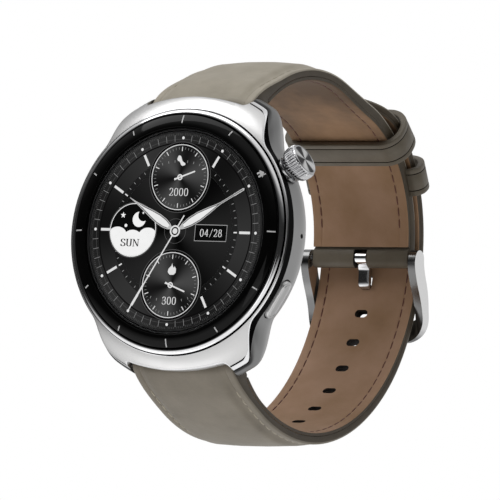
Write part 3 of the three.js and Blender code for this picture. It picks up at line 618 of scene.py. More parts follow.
# What each strip of the case's section is finished with. The dark strips are painted: shade on the ledge
# and wall under the bezel, a painted shadow line at the top's outer edge, and a black band down the
# flank that stands in for a dark reflection.
SATIN_FACE, BRIGHT_EDGE, SHADE_AND_REFLECTION_STRIP, FLANK_FACE = range(4)
CASE_STRIPS = ([SHADE_AND_REFLECTION_STRIP] * 2 + [BRIGHT_EDGE] + [SATIN_FACE] * (len(TOP_SHARES) - 1)
               + [SHADE_AND_REFLECTION_STRIP, BRIGHT_EDGE, SHADE_AND_REFLECTION_STRIP] + [FLANK_FACE] * len(FLANK_SHARES)
               + [SATIN_FACE] * 4)


def case_section(q):
    """The case cut through its axis, at an angle from the line through 3 and 9 o'clock."""
    top = mix(CASE_RADIUS - 0.1, LUG_TOP_REACH, smooth((q - 41) / 18.5) ** 1.2)
    flank = mix(CASE_RADIUS, LUG_FLANK_REACH, smooth((q - 39) / 19.5))
    facet = mix(0.16, 0.5, smooth((q - 54) / 5))
    # line is the width of the painted shadow line at the top's edge; band is the height of the black
    # band painted down the flank as a reflection.
    line = mix(0.01, 0.17, smooth((q - 56.5) / 3))
    band = mix(1.75, 0.14, smooth((q - 39.5) / 20))
    edge = float(dome(top))
    drop = edge - CASE_BOTTOM
    section = [(LEDGE_RADIUS, LEDGE_TOP), (RECESS_RADIUS, LEDGE_TOP),
               (RECESS_RADIUS, float(dome(RECESS_RADIUS)) - 0.12)]
    for t in TOP_SHARES:
        radius = mix(RECESS_RADIUS + 0.1, top - facet, t)
        section.append((radius, float(dome(radius))))
    section.append((top - facet + line, float(dome(top - facet + line)) - 0.4 * line))
    corner = (top + 0.04, edge - 0.55 * facet)
    section.append(corner)
    shoulder = (mix(top, flank, 0.65), edge - 0.28 * drop)
    belly = (flank, CASE_BOTTOM + 0.35 * drop)
    curve = [corner, *bezier(corner, mix(np.array(corner), np.array(shoulder), 0.5), shoulder, 4)]
    curve += bezier(shoulder, (mix(shoulder[0], flank, 0.7), mix(shoulder[1], belly[1], 0.5)), belly, 4)
    curve += bezier(belly, (flank + 0.05, mix(belly[1], CASE_BOTTOM, 0.7)),
                    (flank - 1.2, CASE_BOTTOM), 5)
    radii, heights = zip(*curve[::-1])
    low = corner[1] - band
    for t in (0, *FLANK_SHARES):
        z = mix(low, CASE_BOTTOM, t)
        section.append((float(np.interp(z, heights, radii)), z))
    return section + [(CAVITY_RADIUS, CASE_BOTTOM), (CAVITY_RADIUS, CAVITY_TOP),
                      (LEDGE_RADIUS, CAVITY_TOP)]


def case_shell():
    loops = []
    for i in range(CASE_STEPS):
        angle = 360 * i / CASE_STEPS
        turn = math.radians(angle)
        loops.append([(r * math.cos(turn), r * math.sin(turn), z)
                      for r, z in case_section(quarter(angle))])
    return loft(loops, closed=True, side_finish=CASE_STRIPS)


def notch_outline(side):
    """The gap between two lugs, from its open end round the hood's edge and back."""
    half = LUG_HALF
    corner = 1.3

    def hood(x):
        return HOOD_EDGE - x * x / (2 * HOOD_ARC)

    start = half - corner
    points = [(-half, 32.0), (-half, 28.0), (-half, hood(half) + corner)]
    points += bezier((-half, hood(half) + corner), (-half, hood(half)), (-start, hood(start)), 8)
    for i in range(1, 25):
        x = mix(-start, start, i / 24)
        points.append((x, hood(x)))
    points += bezier((start, hood(start)), (half, hood(half)), (half, hood(half) + corner), 8)
    points += [(half, 28.0), (half, 32.0)]
    return [(x, side * y) for x, y in points]


def strap_pocket(side):
    depth = 32 - POCKET_START
    height = HOOD_UNDERSIDE + 3
    return [extrude(notch_outline(side), -2, 14),
            block((2 * LUG_HALF, depth, height),
                  (0, side * (POCKET_START + depth / 2), HOOD_UNDERSIDE - height / 2))]


def notch_chamfer(side, width=0.22):
    """A cutter that takes the sharp edge off the case top, all round a notch."""
    line = [p for p in notch_outline(side) if math.hypot(*p) < 27.3]
    loops = []
    for i, here in enumerate(line):
        before = line[max(0, i - 1)]
        after = line[min(len(line) - 1, i + 1)]
        run = (after[0] - before[0], after[1] - before[1])
        size = math.hypot(*run)
        away = (side * run[1] / size, -side * run[0] / size)

        def spot(reach, lift, here=here, away=away):
            x = here[0] + away[0] * reach
            y = here[1] + away[1] * reach
            return (x, y, float(dome(math.hypot(x, y))) + lift)

        loops.append([spot(-0.3, -width - 0.25), spot(width + 0.08, 0.07), spot(width + 0.08, 3),
                      spot(-0.3, 3)])
    return loft(loops, finish=BRIGHT_EDGE)


CROWN_PLACE = outward_matrix(CROWN_ANGLE, CROWN_HEIGHT)
KEY_PLACE = outward_matrix(KEY_ANGLE, KEY_HEIGHT)
SOUND_HEIGHT = 5.2
CASE_CUTS = [*strap_pocket(1), *strap_pocket(-1), notch_chamfer(1), notch_chamfer(-1)]
CASE_CUTS += [along_x(0.6, -13.2, 13.2, y, BAR_Z, 24) for y in (BAR_Y, -BAR_Y)]
CASE_CUTS += [moved(disc(2, 18, 26, 40), CROWN_PLACE),
              moved(extrude(capsule_outline(8.3, 3.3), 21.8, 26), KEY_PLACE),
              moved(disc(1.3, 18, 23, 24), KEY_PLACE),
              moved(disc(0.45, 18, 26, 16), outward_matrix(0, SOUND_HEIGHT))]
CASE_CUTS += [moved(extrude(capsule_outline(1.4, 0.7, 8), 18, 26), outward_matrix(angle, SOUND_HEIGHT))
              for angle in (175, 180, 185)]

piece("case_shell", case_shell(), "case", [SATIN, POLISHED, DARK_PAINTED_SHADE_AND_REFLECTION, FLANK_PAINTED_REFLECTION],
      stands_for=["case_body"], cutters=CASE_CUTS, sharp=28)


# ---- bezel
FLUTES = 1080


def bezel_ring():
    """The ring, with a fine flute round its crest."""
    profile = [(21.88, 9.6), (22.74, 9.6), (22.74, 10.42), (22.66, 10.55), (22.4, 10.72),
               (22.08, 10.86), (21.95, 10.84), (21.88, 10.74)]
    part = lathe(profile, FLUTES)
    for row in (3, 4, 5):
        part[0][row * FLUTES:(row + 1) * FLUTES:2, 2] -= 0.02
    return part


piece("bezel_steel", bezel_ring(), "case", POLISHED, stands_for=["bezel_ring"])


INSERT_INNER = 19.25
INSERT_OUTER = 21.6


def insert_height(radius):
    t = (radius - INSERT_INNER) / (INSERT_OUTER - INSERT_INNER)
    return 11.9 - 0.72 * t ** 1.9


def bezel_insert():
    profile = [(INSERT_INNER, 10.75), (INSERT_OUTER - 0.05, 10.75), (INSERT_OUTER, 10.85)]
    slope = [mix(INSERT_OUTER, INSERT_INNER + 0.1, i / 14) for i in range(15)]
    profile += [(radius, insert_height(radius)) for radius in slope]
    return lathe([*profile, (INSERT_INNER, 11.86)], 256)


piece("bezel_black", bezel_insert(), "case", BLACK_GLOSS,
      stands_for=["bezel_insert"], sharp=40)


def turned(part, degrees):
    """A part turned about the dial's centre."""
    return moved(part, Matrix.Rotation(math.radians(degrees), 4, "Z"))


def bar(x0, y0, x1, y1, low, high):
    return extrude([(x0, y0), (x1, y0), (x1, y1), (x0, y1)], low, high)


def bezel_ticks():
    parts = []
    for hour in range(12):
        inner, outer = (20.0, 21.5) if hour % 3 == 0 else (20.45, 21.4)
        loops = []
        for i in range(6):
            radius = mix(inner, outer, i / 5)
            z = insert_height(radius)
            loops.append([(radius, -0.12, z - 0.02), (radius, 0.12, z - 0.02),
                          (radius, 0.12, z + 0.02), (radius, -0.12, z + 0.02)])
        parts.append(turned(loft(loops), 30 * hour))
    return together(*parts)


TICK_PAINT = plastic("tick_paint", (0.62, 0.62, 0.62), 0.4, 0.1)
piece("bezel_ticks", bezel_ticks(), "case", TICK_PAINT)


def house_sign():
    """A small generic house sign beside the crown."""
    outline = [(-0.5, -0.55), (-0.16, -0.55), (-0.16, -0.1), (0.16, -0.1), (0.16, -0.55),
               (0.5, -0.55), (0.5, 0.1), (0.78, 0.1), (0, 0.78), (-0.78, 0.1), (-0.5, 0.1)]
    reach = 20.55
    place = (Matrix.Translation((0, reach, insert_height(reach)))
             @ Matrix.Rotation(math.radians(-17), 4, "X"))
    return turned(moved(extrude(outline, -0.02, 0.02), place), -59)


piece("bezel_sign", house_sign(), "case", TICK_PAINT)


# ---- display
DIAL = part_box("display_panel")[1].z / MM
DIAL_TURN = Matrix.Rotation(math.radians(-0.93), 4, "Z")
SUB_DIALS = [(0.0, 10.0), (0.0, -10.0)]
SUB_RADIUS = 6.1
MOON = (-9.15, 0.0)
MOON_RADIUS = 4.95
DATE_BOX = (4.25, -1.75, 11.15, 1.35)


def layer(low, high):
    """Two heights over the display panel, given in thousandths of a millimetre."""
    return DIAL + low / 1000, DIAL + high / 1000


def dial_piece(name, parts, material):
    return piece(name, moved(together(*parts), DIAL_TURN), "case", material)


def spokes(count, skip, inner, outer, width, heights, centre=(0, 0)):
    """Flat bars that point out from a centre, all but those whose numbers are skipped."""
    mark = bar(inner, -width / 2, outer, width / 2, *heights)
    return [shifted(turned(mark, 90 - 360 / count * i), *centre) for i in range(count) if not skip(i)]


def fifth(i):
    return i % 5 == 0


for name, inner, outer, shading in (("track", 16.42, 18.3, (0.009, 0.034, (0, 0), -7, 0.6)),
                                    ("band", 13.4, 16.3, (0.006, 0.034)),
                                    ("chapter", 12.2, 13.34, (0.006, 0.017))):
    dial_piece(f"dial_{name}", [ring(inner, outer, *layer(4, 10), 180)],
               lit_fan(f"dial_{name}", *shading))
dial_piece("dial_gap", [ring(16.22, 16.46, *layer(11, 14), 180)], BLACK)
dial_piece("dial_middle", [disc(12.14, *layer(4, 10), 128)], lit_fan("dial_middle", 0.002, 0.018))
for number, centre in enumerate(SUB_DIALS, 1):
    dial_piece(f"sub_dial_{number}", [shifted(disc(SUB_RADIUS, *layer(12, 18), 96), *centre)],
               lit_fan(f"sub_dial_{number}", 0.008, 0.064, centre, 132))
    halo = ring(SUB_RADIUS, SUB_RADIUS + 0.55, *layer(11, 16), 96)
    dial_piece(f"sub_dial_halo_{number}", [shifted(halo, *centre)], BLACK)


def white_marks():
    heights = layer(22, 30)
    parts = spokes(12, lambda hour: hour in (0, 6, 9), 13.8, 16.1, 0.48, heights)
    parts += spokes(12, lambda hour: hour != 9, 14.15, 16.1, 0.48, heights)
    parts += spokes(12, lambda hour: hour not in (2, 3, 4, 8, 10), 12.6, 13.3, 0.24, heights)
    parts += [shifted(disc(0.27, *heights, 20), *polar(17.3, 30 * hour)) for hour in range(12)]
    for centre in SUB_DIALS:
        parts.append(shifted(ring(SUB_RADIUS - 0.14, SUB_RADIUS, *heights, 96), *centre))
        parts += spokes(10, lambda i: False, 4.85, 5.65, 0.15, heights, centre)
    return parts


def fine_marks():
    heights = layer(22, 28)
    parts = spokes(60, fifth, 16.62, 17.85, 0.09, heights)
    parts += spokes(60, fifth, 12.75, 13.2, 0.13, heights)
    for centre in SUB_DIALS:
        parts += spokes(50, fifth, 5.15, 5.6, 0.08, heights, centre)
    return parts


def faint_marks():
    heights = layer(20, 24)
    parts = [shifted(ring(SUB_RADIUS + 0.4, SUB_RADIUS + 0.5, *heights, 96), *centre)
             for centre in SUB_DIALS]
    parts += spokes(300, fifth, 17.75, 18.15, 0.06, heights)
    parts.append(shifted(ring(MOON_RADIUS + 0.1, MOON_RADIUS + 0.22, *heights, 96), *MOON))
    return parts + [ring(17.0, 17.05, *heights, 180), ring(2.25, 2.32, *heights, 64)]


dial_piece("dial_white_marks", white_marks(), WHITE)
dial_piece("dial_fine_marks", fine_marks(), MID)
dial_piece("dial_faint_marks", faint_marks(), DIM)


def date_frame():
    x0, y0, x1, y1 = DATE_BOX
    heights = layer(24, 30)
    return [bar(x0, y0, x1, y0 + 0.1, *heights), bar(x0, y1 - 0.1, x1, y1, *heights),
            bar(x0, y0, x0 + 0.08, y1, *heights), bar(x1 - 0.08, y0, x1, y1, *heights)]


dial_piece("date_frame", date_frame(), PALE)
dial_piece("date_ground", [bar(*DATE_BOX, *layer(14, 20))], BLACK)


def moon_clouds():
    """The pale lower half with three scallops, and the rim."""
    reach = MOON_RADIUS - 0.12
    rim = [polar(reach, mix(183, 357, i / 48)) for i in range(49)]
    outline = [p for p in rim if p[1] < -0.2]
    for i in range(61):
        x = mix(4.75, -4.75, i / 60)
        best = -3.0
        for cx, cy in ((3.3, -0.95), (0.0, -1.42), (-3.3, -0.9)):
            inside = 1.95 ** 2 - (x - cx) ** 2
            if inside > 0:
                best = max(best, cy + 0.75 * math.sqrt(inside))
        edge = -math.sqrt(max(0.0, reach ** 2 - x * x)) + 0.02
        outline.append((x, max(best, edge)))
    return [shifted(extrude(outline, *layer(32, 38)), *MOON),
            shifted(ring(MOON_RADIUS - 0.1, MOON_RADIUS + 0.02, *layer(32, 38), 96), *MOON)]


def crescent(radius, bite_radius, bite):
    """The outline of a moon with a round bite taken out of its upper right."""
    reach = math.hypot(*bite)
    facing = math.degrees(math.atan2(bite[1], bite[0]))
    opening = math.degrees(math.acos((radius ** 2 + reach ** 2 - bite_radius ** 2)
                                     / (2 * radius * reach)))
    inner = math.degrees(math.acos((bite_radius ** 2 + reach ** 2 - radius ** 2)
                                   / (2 * bite_radius * reach)))
    points = [polar(radius, facing + mix(opening, 360 - opening, i / 40)) for i in range(41)]
    back = [polar(bite_radius, facing + 180 + mix(inner, -inner, i / 24)) for i in range(25)]
    return points + [(bite[0] + x, bite[1] + y) for x, y in back][1:-1]


def star(radius):
    return [polar(radius if i % 2 == 0 else radius * 0.42, 90 + 36 * i) for i in range(10)]


def moon_marks():
    heights = layer(32, 38)
    return [shifted(extrude(crescent(1.42, 1.14, (0.86, 0.80)), *heights), MOON[0] + 1.17, 2.0),
            shifted(extrude(star(0.6), *heights), MOON[0] - 2.36, 2.72),
            shifted(disc(0.3, *heights, 24), MOON[0] - 1.6, 0.82),
            shifted(extrude(star(0.28), *heights), MOON[0] + 1.95, 3.22)]


dial_piece("moon_ground", [shifted(disc(MOON_RADIUS, *layer(24, 30), 96), *MOON)], BLACK)
dial_piece("moon_clouds", moon_clouds(), lit("moon_cloud", 0.95))
dial_piece("moon_marks", moon_marks(), lit("moon_white", 0.95))

FOOT = [(-0.75, 0.45), (-0.35, 1.05), (0.12, 0.85), (0.22, 0.3), (0.32, -0.2), (0.9, -0.75),
        (0.8, -1.05), (0.1, -1.05), (-0.12, -0.7), (-0.22, -0.2), (-0.7, 0.1)]
FLAME = [(-0.05, 1.2), (0.18, 0.55), (0.4, 0.25), (0.55, 0.62), (0.88, 0.1), (0.88, -0.55),
         (0.45, -1.0), (-0.4, -1.0), (-0.85, -0.5), (-0.75, 0.1), (-0.45, 0.4), (-0.12, 0.7)]
foot = turned(extrude(fillet(FOOT, 0.16), *layer(24, 30)), 12)
flame = extrude(fillet(FLAME, 0.12), *layer(24, 30))
dial_piece("dial_signs", [shifted(foot, -0.1, 13.1), shifted(flame, 0.05, -7.1)], WHITE)


def oval(x0, y0, x1, y1):
    x, y = (x0 + x1) / 2, (y0 + y1) / 2
    return [(x0, y), (x0, y1, x, y1), (x1, y1, x1, y), (x1, y0, x, y0), (x0, y0, x0, y)]


# Letter shapes as pen strokes in a box one high: each stroke is a start, then bends and ends.
STROKES = {
    "0": [oval(0.06, 0.03, 0.52, 0.97)],
    "2": [[(0.09, 0.74), (0.10, 0.97, 0.29, 0.97), (0.50, 0.97, 0.50, 0.72), (0.48, 0.45, 0.07, 0.05)],
          [(0.06, 0.05), (0.3, 0.05, 0.53, 0.05)], [(0.52, 0.04), (0.54, 0.12, 0.55, 0.22)]],
    "3": [[(0.09, 0.78), (0.11, 0.97, 0.29, 0.97), (0.48, 0.97, 0.48, 0.76), (0.46, 0.55, 0.24, 0.54)],
          [(0.24, 0.54), (0.53, 0.52, 0.53, 0.28), (0.52, 0.03, 0.28, 0.03), (0.08, 0.03, 0.07, 0.22)]],
    "4": [[(0.40, 0.03), (0.40, 0.5, 0.40, 0.97)], [(0.40, 0.97), (0.22, 0.64, 0.04, 0.30)],
          [(0.04, 0.29), (0.3, 0.29, 0.56, 0.29)]],
    "8": [oval(0.12, 0.53, 0.46, 0.97), oval(0.07, 0.03, 0.51, 0.53)],
    "/": [[(0.08, -0.05), (0.28, 0.5, 0.48, 1.05)]],
    "S": [[(0.48, 0.80), (0.42, 0.97, 0.29, 0.97), (0.09, 0.97, 0.09, 0.76), (0.10, 0.60, 0.29, 0.51),
           (0.51, 0.42, 0.51, 0.25), (0.50, 0.03, 0.28, 0.03), (0.13, 0.03, 0.07, 0.24)],
          [(0.48, 0.97), (0.48, 0.84, 0.48, 0.72)], [(0.07, 0.03), (0.07, 0.15, 0.07, 0.30)]],
    "U": [[(0.16, 0.97), (0.16, 0.6, 0.16, 0.3), (0.17, 0.03, 0.37, 0.03), (0.57, 0.03, 0.58, 0.3),
           (0.58, 0.6, 0.58, 0.97)], [(0.02, 0.97), (0.16, 0.97, 0.30, 0.97)],
          [(0.46, 0.97), (0.58, 0.97, 0.70, 0.97)]],
    "N": [[(0.14, 0.97), (0.38, 0.5, 0.62, 0.03)], [(0.13, 0.03), (0.13, 0.5, 0.13, 0.97)],
          [(0.63, 0.03), (0.63, 0.5, 0.63, 0.97)], [(0.0, 0.97), (0.1, 0.97, 0.2, 0.97)],
          [(0.0, 0.03), (0.13, 0.03, 0.26, 0.03)], [(0.5, 0.97), (0.63, 0.97, 0.76, 0.97)]]}
THIN_UPRIGHTS = ("N", 1), ("N", 2), ("2", 2), ("S", 1), ("S", 2), ("/", 0)
LETTER_WIDTHS = {"S": 0.56, "U": 0.72, "N": 0.76, "/": 0.52}
DIGIT_WIDTH = 0.58


def pen_stroke(line, thick, thin, low, high):
    """A flat ribbon along a line, broad where the line runs upright."""
    points = [np.array(line[0], float)]
    for bend_x, bend_y, end_x, end_y in line[1:]:
        points += [np.array(p) for p in bezier(tuple(points[-1]), (bend_x, bend_y), (end_x, end_y), 7)]
    left, right = [], []
    for i, here in enumerate(points):
        run = points[min(len(points) - 1, i + 1)] - points[max(0, i - 1)]
        run = run / np.linalg.norm(run)
        side = np.array([-run[1], run[0]])
        half = math.hypot(thick * side[0], thin * side[1])
        left.append(tuple(here + side * half))
        right.append(tuple(here - side * half))
    loops = [[(*a, low), (*b, low), (*b, high), (*a, high)] for a, b in zip(left, right)]
    return loft(loops)


def lettering(name, text, centre, height, material, lift, thick, thin, widen, gap=0.14):
    """A generic number or weekday on the dial, drawn with a broad pen."""
    parts = []
    scale = height * widen
    sizes = [LETTER_WIDTHS.get(letter, DIGIT_WIDTH) for letter in text]
    x = centre[0] - scale * (sum(sizes) + gap * (len(text) - 1)) / 2
    for letter, size in zip(text, sizes):
        for number, line in enumerate(STROKES[letter]):
            pen = thin * 1.1 if (letter, number) in THIN_UPRIGHTS else thick
            part = pen_stroke(line, pen, thin, lift + 0.0004 * number, lift + 0.006)
            part = (part[0] * np.array([scale, height, 1]), *part[1:])
            parts.append(shifted(part, x, centre[1] - height / 2))
        x += scale * (size + gap)
    return dial_piece(name, parts, material)


NUMBER_PEN = (1.45, WHITE, DIAL + 0.024, 0.055, 0.028, 1.03)
lettering("steps_number", "2000", (0.0, 7.25), *NUMBER_PEN)
lettering("energy_number", "300", (0.0, -12.9), *NUMBER_PEN)
lettering("date_number", "04/28", (7.75, -0.2), 1.42, WHITE, DIAL + 0.026, 0.052, 0.026, 0.98)
lettering("weekday", "SUN", (MOON[0] - 0.42, -2.35), 1.38, INK, DIAL + 0.040, 0.075, 0.032, 1.42,
          0.02)


# Each hand is half widths at distances from the dial's centre.
HOUR_HAND = [(0.9, 0.16), (1.7, 0.62), (2.8, 0.88), (4.4, 0.95), (6.4, 0.74), (8.4, 0.42),
             (10.4, 0.16), (12.0, 0.05)]
MINUTE_HAND = [(0.9, 0.18), (2.0, 0.6), (3.6, 0.88), (5.6, 0.92), (8.0, 0.62), (9.8, 0.30),
               (10.8, 0.19), (15.9, 0.21), (16.3, 0.1)]
SECOND_HAND = [(-3.4, 0.12), (11.6, 0.13), (11.9, 0.20), (15.2, 0.20), (15.5, 0.15), (17.2, 0.10)]
SMALL_HAND = [(-1.25, 0.2), (-0.4, 0.12), (0.3, 0.14), (3.25, 0.14), (3.4, 0.06)]


def hand(stations, clock_degrees, low, high):
    outline = stations + [(reach, -half) for reach, half in stations[::-1]]
    return turned(extrude(outline, low, high), 90 - clock_degrees)


def slimmer(stations, amount):
    return [(reach, max(0.02, half - amount)) for reach, half in stations[1:-1]]


dial_piece("hand_edges", [hand(HOUR_HAND, 300, *layer(44, 50)), hand(MINUTE_HAND, 60, *layer(52, 58))],
           lit("hand_edge", 0.52))
dial_piece("hand_grooves", [hand(slimmer(HOUR_HAND, 0.13), 300, *layer(50.2, 50.6)),
                            hand(slimmer(MINUTE_HAND, 0.13), 60, *layer(58.2, 58.8))],
           lit("hand_groove", 0.12))
dial_piece("hand_faces", [hand(slimmer(HOUR_HAND, 0.3), 300, *layer(51, 51.5)),
                          hand(slimmer(MINUTE_HAND, 0.3)[:-2], 60, *layer(59.2, 60))],
           lit("hand_face", 0.88))


def thin_hands():
    parts = [hand(SECOND_HAND, 210, *layer(62, 66))]
    for centre, angle in zip(SUB_DIALS, (70, 110)):
        parts.append(shifted(hand(SMALL_HAND, angle, *layer(32, 36)), *centre))
        parts.append(shifted(ring(0.32, 0.56, *layer(34, 40), 32), *centre))
    return parts + [ring(0.78, 1.08, *layer(68, 74), 48), disc(0.52, *layer(70, 78), 32)]


dial_piece("thin_hands", thin_hands(), WHITE)
dial_piece("hub_ground", [disc(0.80, *layer(66.5, 67.5), 32)], BLACK)


# ---- crown and side key
TEETH = 34
POINTS_PER_TOOTH = 8
TOOTH_DEPTH = 0.34
# Height, radius and share of the tooth depth, from the case outward.
CROWN_ROWS = [(24.65, 2.4, 0), (24.65, 2.7, 0), (24.72, 2.8, 0), (24.92, 2.84, 0), (25.0, 2.92, 0.2),
              (25.12, 3.18, 1), (25.8, 3.38, 1), (26.7, 3.42, 1), (27.2, 3.34, 1),
              (27.34, 3.14, 0.2), (27.42, 3.06, 0), (27.56, 3.05, 0), (27.68, 2.98, 0),
              (27.72, 2.88, 0), (27.68, 2.78, 0), (27.62, 2.74, 0)]


def crown_cap():
    count = TEETH * POINTS_PER_TOOTH
    loops = []
    for height, radius, depth in CROWN_ROWS:
        loop = []
        for k in range(count):
            valley = 0.5 + 0.5 * math.cos(2 * math.pi * k / POINTS_PER_TOOTH)
            reach = radius - TOOTH_DEPTH * depth * valley ** 1.5
            loop.append((*polar(reach, 360 * k / count), height))
        loops.append(loop)
    return loft(loops)


piece("crown_knurl", moved(crown_cap(), CROWN_PLACE), "crown", DIM_STEEL,
      stands_for=["crown_cap"], sharp=50, cutters=[moved(disc(2.2, 24, 25.6, 32), CROWN_PLACE)])
# The crown's end face has painted highlight fans.
CROWN_PAINTED_HIGHLIGHT = painted_fan_highlight("crown_painted_highlight", CROWN_PLACE,
                [(0.2, grey(0.015)), (0.42, grey(0.10)), (0.62, grey(0.75)), (0.8, grey(1.0))], 4, 2.2)
piece("crown_face", moved(disc(2.76, 27.4, 27.64, 96), CROWN_PLACE), "crown",
      CROWN_PAINTED_HIGHLIGHT, sharp=60)


def side_key():
    """The key, with a shallow groove round its face: heights, and how far in from its outline."""
    rows = [(22.3, 0), (23.62, 0), (23.8, 0.18), (23.86, 0.4), (23.87, 0.9), (23.80, 1.0),
            (23.80, 1.15), (23.88, 1.3), (23.9, 1.6)]
    return loft([[(x, y, height) for x, y in capsule_outline(7.8 - inset, 2.8 - inset, 20)]
                 for height, inset in rows])


piece("side_button", moved(side_key(), KEY_PLACE), "side_key", SATIN,
      stands_for=["side_key"], sharp=30)


# ---- strap loop
# Angles are in degrees, and lengths run along the inner face from the spring bar.
STRAP_END_RADIUS = 1.9
HALF_LUG = 10.8
HALF_BUCKLE = 10.5
FOLD_INNER = -0.75
FOLD_OUTER = 2.05
TOP_END_HALF = 1.3
TOP_END_OFFSET = (FOLD_INNER + FOLD_OUTER) / 2
STRAP_EDGE = 2.3
TAIL_EDGE = 2.1
LINING_THICK = 0.7
STRAP_PAD = 1.2
BLEND_LENGTH = 11
PAD_LENGTH = 20
SIDE_CENTRE = (0.9, -20.2)
SIDE_RADIUS = 31.4
SIDE_END = -14.6
STRAIGHT = 10.2
KEEPER_ARC = 24.4
BOTTOM_RADIUS = 37.1
TAIL_ARC = KEEPER_ARC + STRAP_EDGE + 0.6
TAIL_TURN = 5.4
TOP_END = -93.8
START_LENGTHS = (-1.895, -1.8, -1.6, -1.3, -0.9, -0.45)
BUCKLE_BAR_ANGLE = -92.4
TAIL_END = SIDE_END - 12
TAIL_TIP = 4
LINING_START = 3.4
STITCH_STEP = 2.3
ROUTE_STEP = 0.85


def on_arc(centre, radius, angle):
    x, y = polar(radius, angle)
    return centre[0] + x, centre[1] + y


SIDE_TURN = on_arc(SIDE_CENTRE, SIDE_RADIUS, SIDE_END)
DOWN = polar(1, SIDE_END - 90)
STRAIGHT_END = (SIDE_TURN[0] + STRAIGHT * DOWN[0], SIDE_TURN[1] + STRAIGHT * DOWN[1])
KEEPER_CENTRE = on_arc(STRAIGHT_END, -KEEPER_ARC, SIDE_END)
BOTTOM_CENTRE = on_arc(KEEPER_CENTRE, BOTTOM_RADIUS - TAIL_ARC, 90 + TAIL_TURN)


def bar_angle(centre, y):
    return math.degrees(math.atan2(BAR_Z - centre[1], y - centre[0]))


class Route:
    """The inner face of a strap half, seen from 3 o'clock: points, outward directions, lengths."""

    def __init__(self):
        self.points = []
        self.out = []
        self.length = []

    def add(self, point, angle, length):
        self.points.append(point)
        self.out.append(polar(1, angle))
        self.length.append(length)

    def lead_in(self, centre, radius, start, way):
        """The round end in front of the spring bar, where lengths are below zero."""
        for length in START_LENGTHS:
            angle = start + way * math.degrees(length / radius)
            self.add(on_arc(centre, radius, angle), angle, length)

    def arc(self, centre, radius, start, end, first):
        size = abs(math.radians(end - start)) * radius
        count = round(size / ROUTE_STEP)
        for i in range(count + 1):
            angle = mix(start, end, i / count)
            self.add(on_arc(centre, radius, angle), angle, first + size * i / count)
        return first + size

    def line(self, start, angle, direction, size, first):
        count = round(size / ROUTE_STEP)
        for i in range(1, count):
            reach = size * i / count
            self.add((start[0] + direction[0] * reach, start[1] + direction[1] * reach), angle,
                     first + reach)
        return first + size

    def at(self, length):
        """Point and outward direction at a length."""
        y = np.interp(length, self.length, [p[0] for p in self.points])
        z = np.interp(length, self.length, [p[1] for p in self.points])
        ny = np.interp(length, self.length, [n[0] for n in self.out])
        nz = np.interp(length, self.length, [n[1] for n in self.out])
        size = math.hypot(ny, nz)
        return (float(y), float(z)), (ny / size, nz / size)


def top_route():
    route = Route()
    start = bar_angle(SIDE_CENTRE, BAR_Y)
    route.lead_in(SIDE_CENTRE, SIDE_RADIUS, start, -1)
    length = route.arc(SIDE_CENTRE, SIDE_RADIUS, start, SIDE_END, 0)
    length = route.line(SIDE_TURN, SIDE_END, DOWN, STRAIGHT, length)
    length = route.arc(KEEPER_CENTRE, KEEPER_ARC, SIDE_END, TOP_END, length)
    for past in (0.3, 0.6, 0.85, 1.05, 1.2, 1.28):
        angle = TOP_END - math.degrees(past / KEEPER_ARC)
        route.add(on_arc(KEEPER_CENTRE, KEEPER_ARC, angle), angle, length + past)
    return route, length


def bottom_route():
    route = Route()
    start = bar_angle(BOTTOM_CENTRE, -BAR_Y)
    route.lead_in(BOTTOM_CENTRE, BOTTOM_RADIUS, start, 1)
    length = route.arc(BOTTOM_CENTRE, BOTTOM_RADIUS, start, 270 + TAIL_TURN, 0)
    length = route.arc(KEEPER_CENTRE, TAIL_ARC, TAIL_TURN - 90, TAIL_END, length)
    tangent = polar(1, TAIL_END + 90)
    last = on_arc(KEEPER_CENTRE, TAIL_ARC, TAIL_END)
    for reach in (0.6, 1.2, 1.8, 2.4, 2.9, 3.3, 3.6, 3.8, 3.92, 4.0):
        point = (last[0] + tangent[0] * reach, last[1] + tangent[1] * reach)
        route.add(point, TAIL_END, length + reach)
    return route, length + TAIL_TIP


TOP, TOP_LENGTH = top_route()
BOTTOM, BOTTOM_LENGTH = bottom_route()


def bar_offset(centre, radius, y):
    return math.hypot(BAR_Z - centre[1], y - centre[0]) - radius


TOP_OFFSET = bar_offset(SIDE_CENTRE, SIDE_RADIUS, BAR_Y)
BOTTOM_OFFSET = bar_offset(BOTTOM_CENTRE, BOTTOM_RADIUS, -BAR_Y)


TOP_TAPER = 45
TAIL_TAPER = 60
TIP_REACH = 9


def top_half(length):
    return mix(HALF_LUG, HALF_BUCKLE, smooth(length / TOP_TAPER))


def bottom_half(length):
    """Half the tail's width at a length, with its round tip."""
    t = np.clip((length - (BOTTOM_LENGTH - TIP_REACH)) / TIP_REACH, 0, 1)
    return mix(HALF_LUG, HALF_BUCKLE + 0.2, smooth(length / TAIL_TAPER)) * np.sqrt(
        np.maximum(0.03, 1 - t ** 2.4))


PAD_FADE = 18
TAIL_THINS = 60
TAIL_FADE = 15
FOLD_START = 28
FOLD_FADE = 16
FOLD_TIP = 4


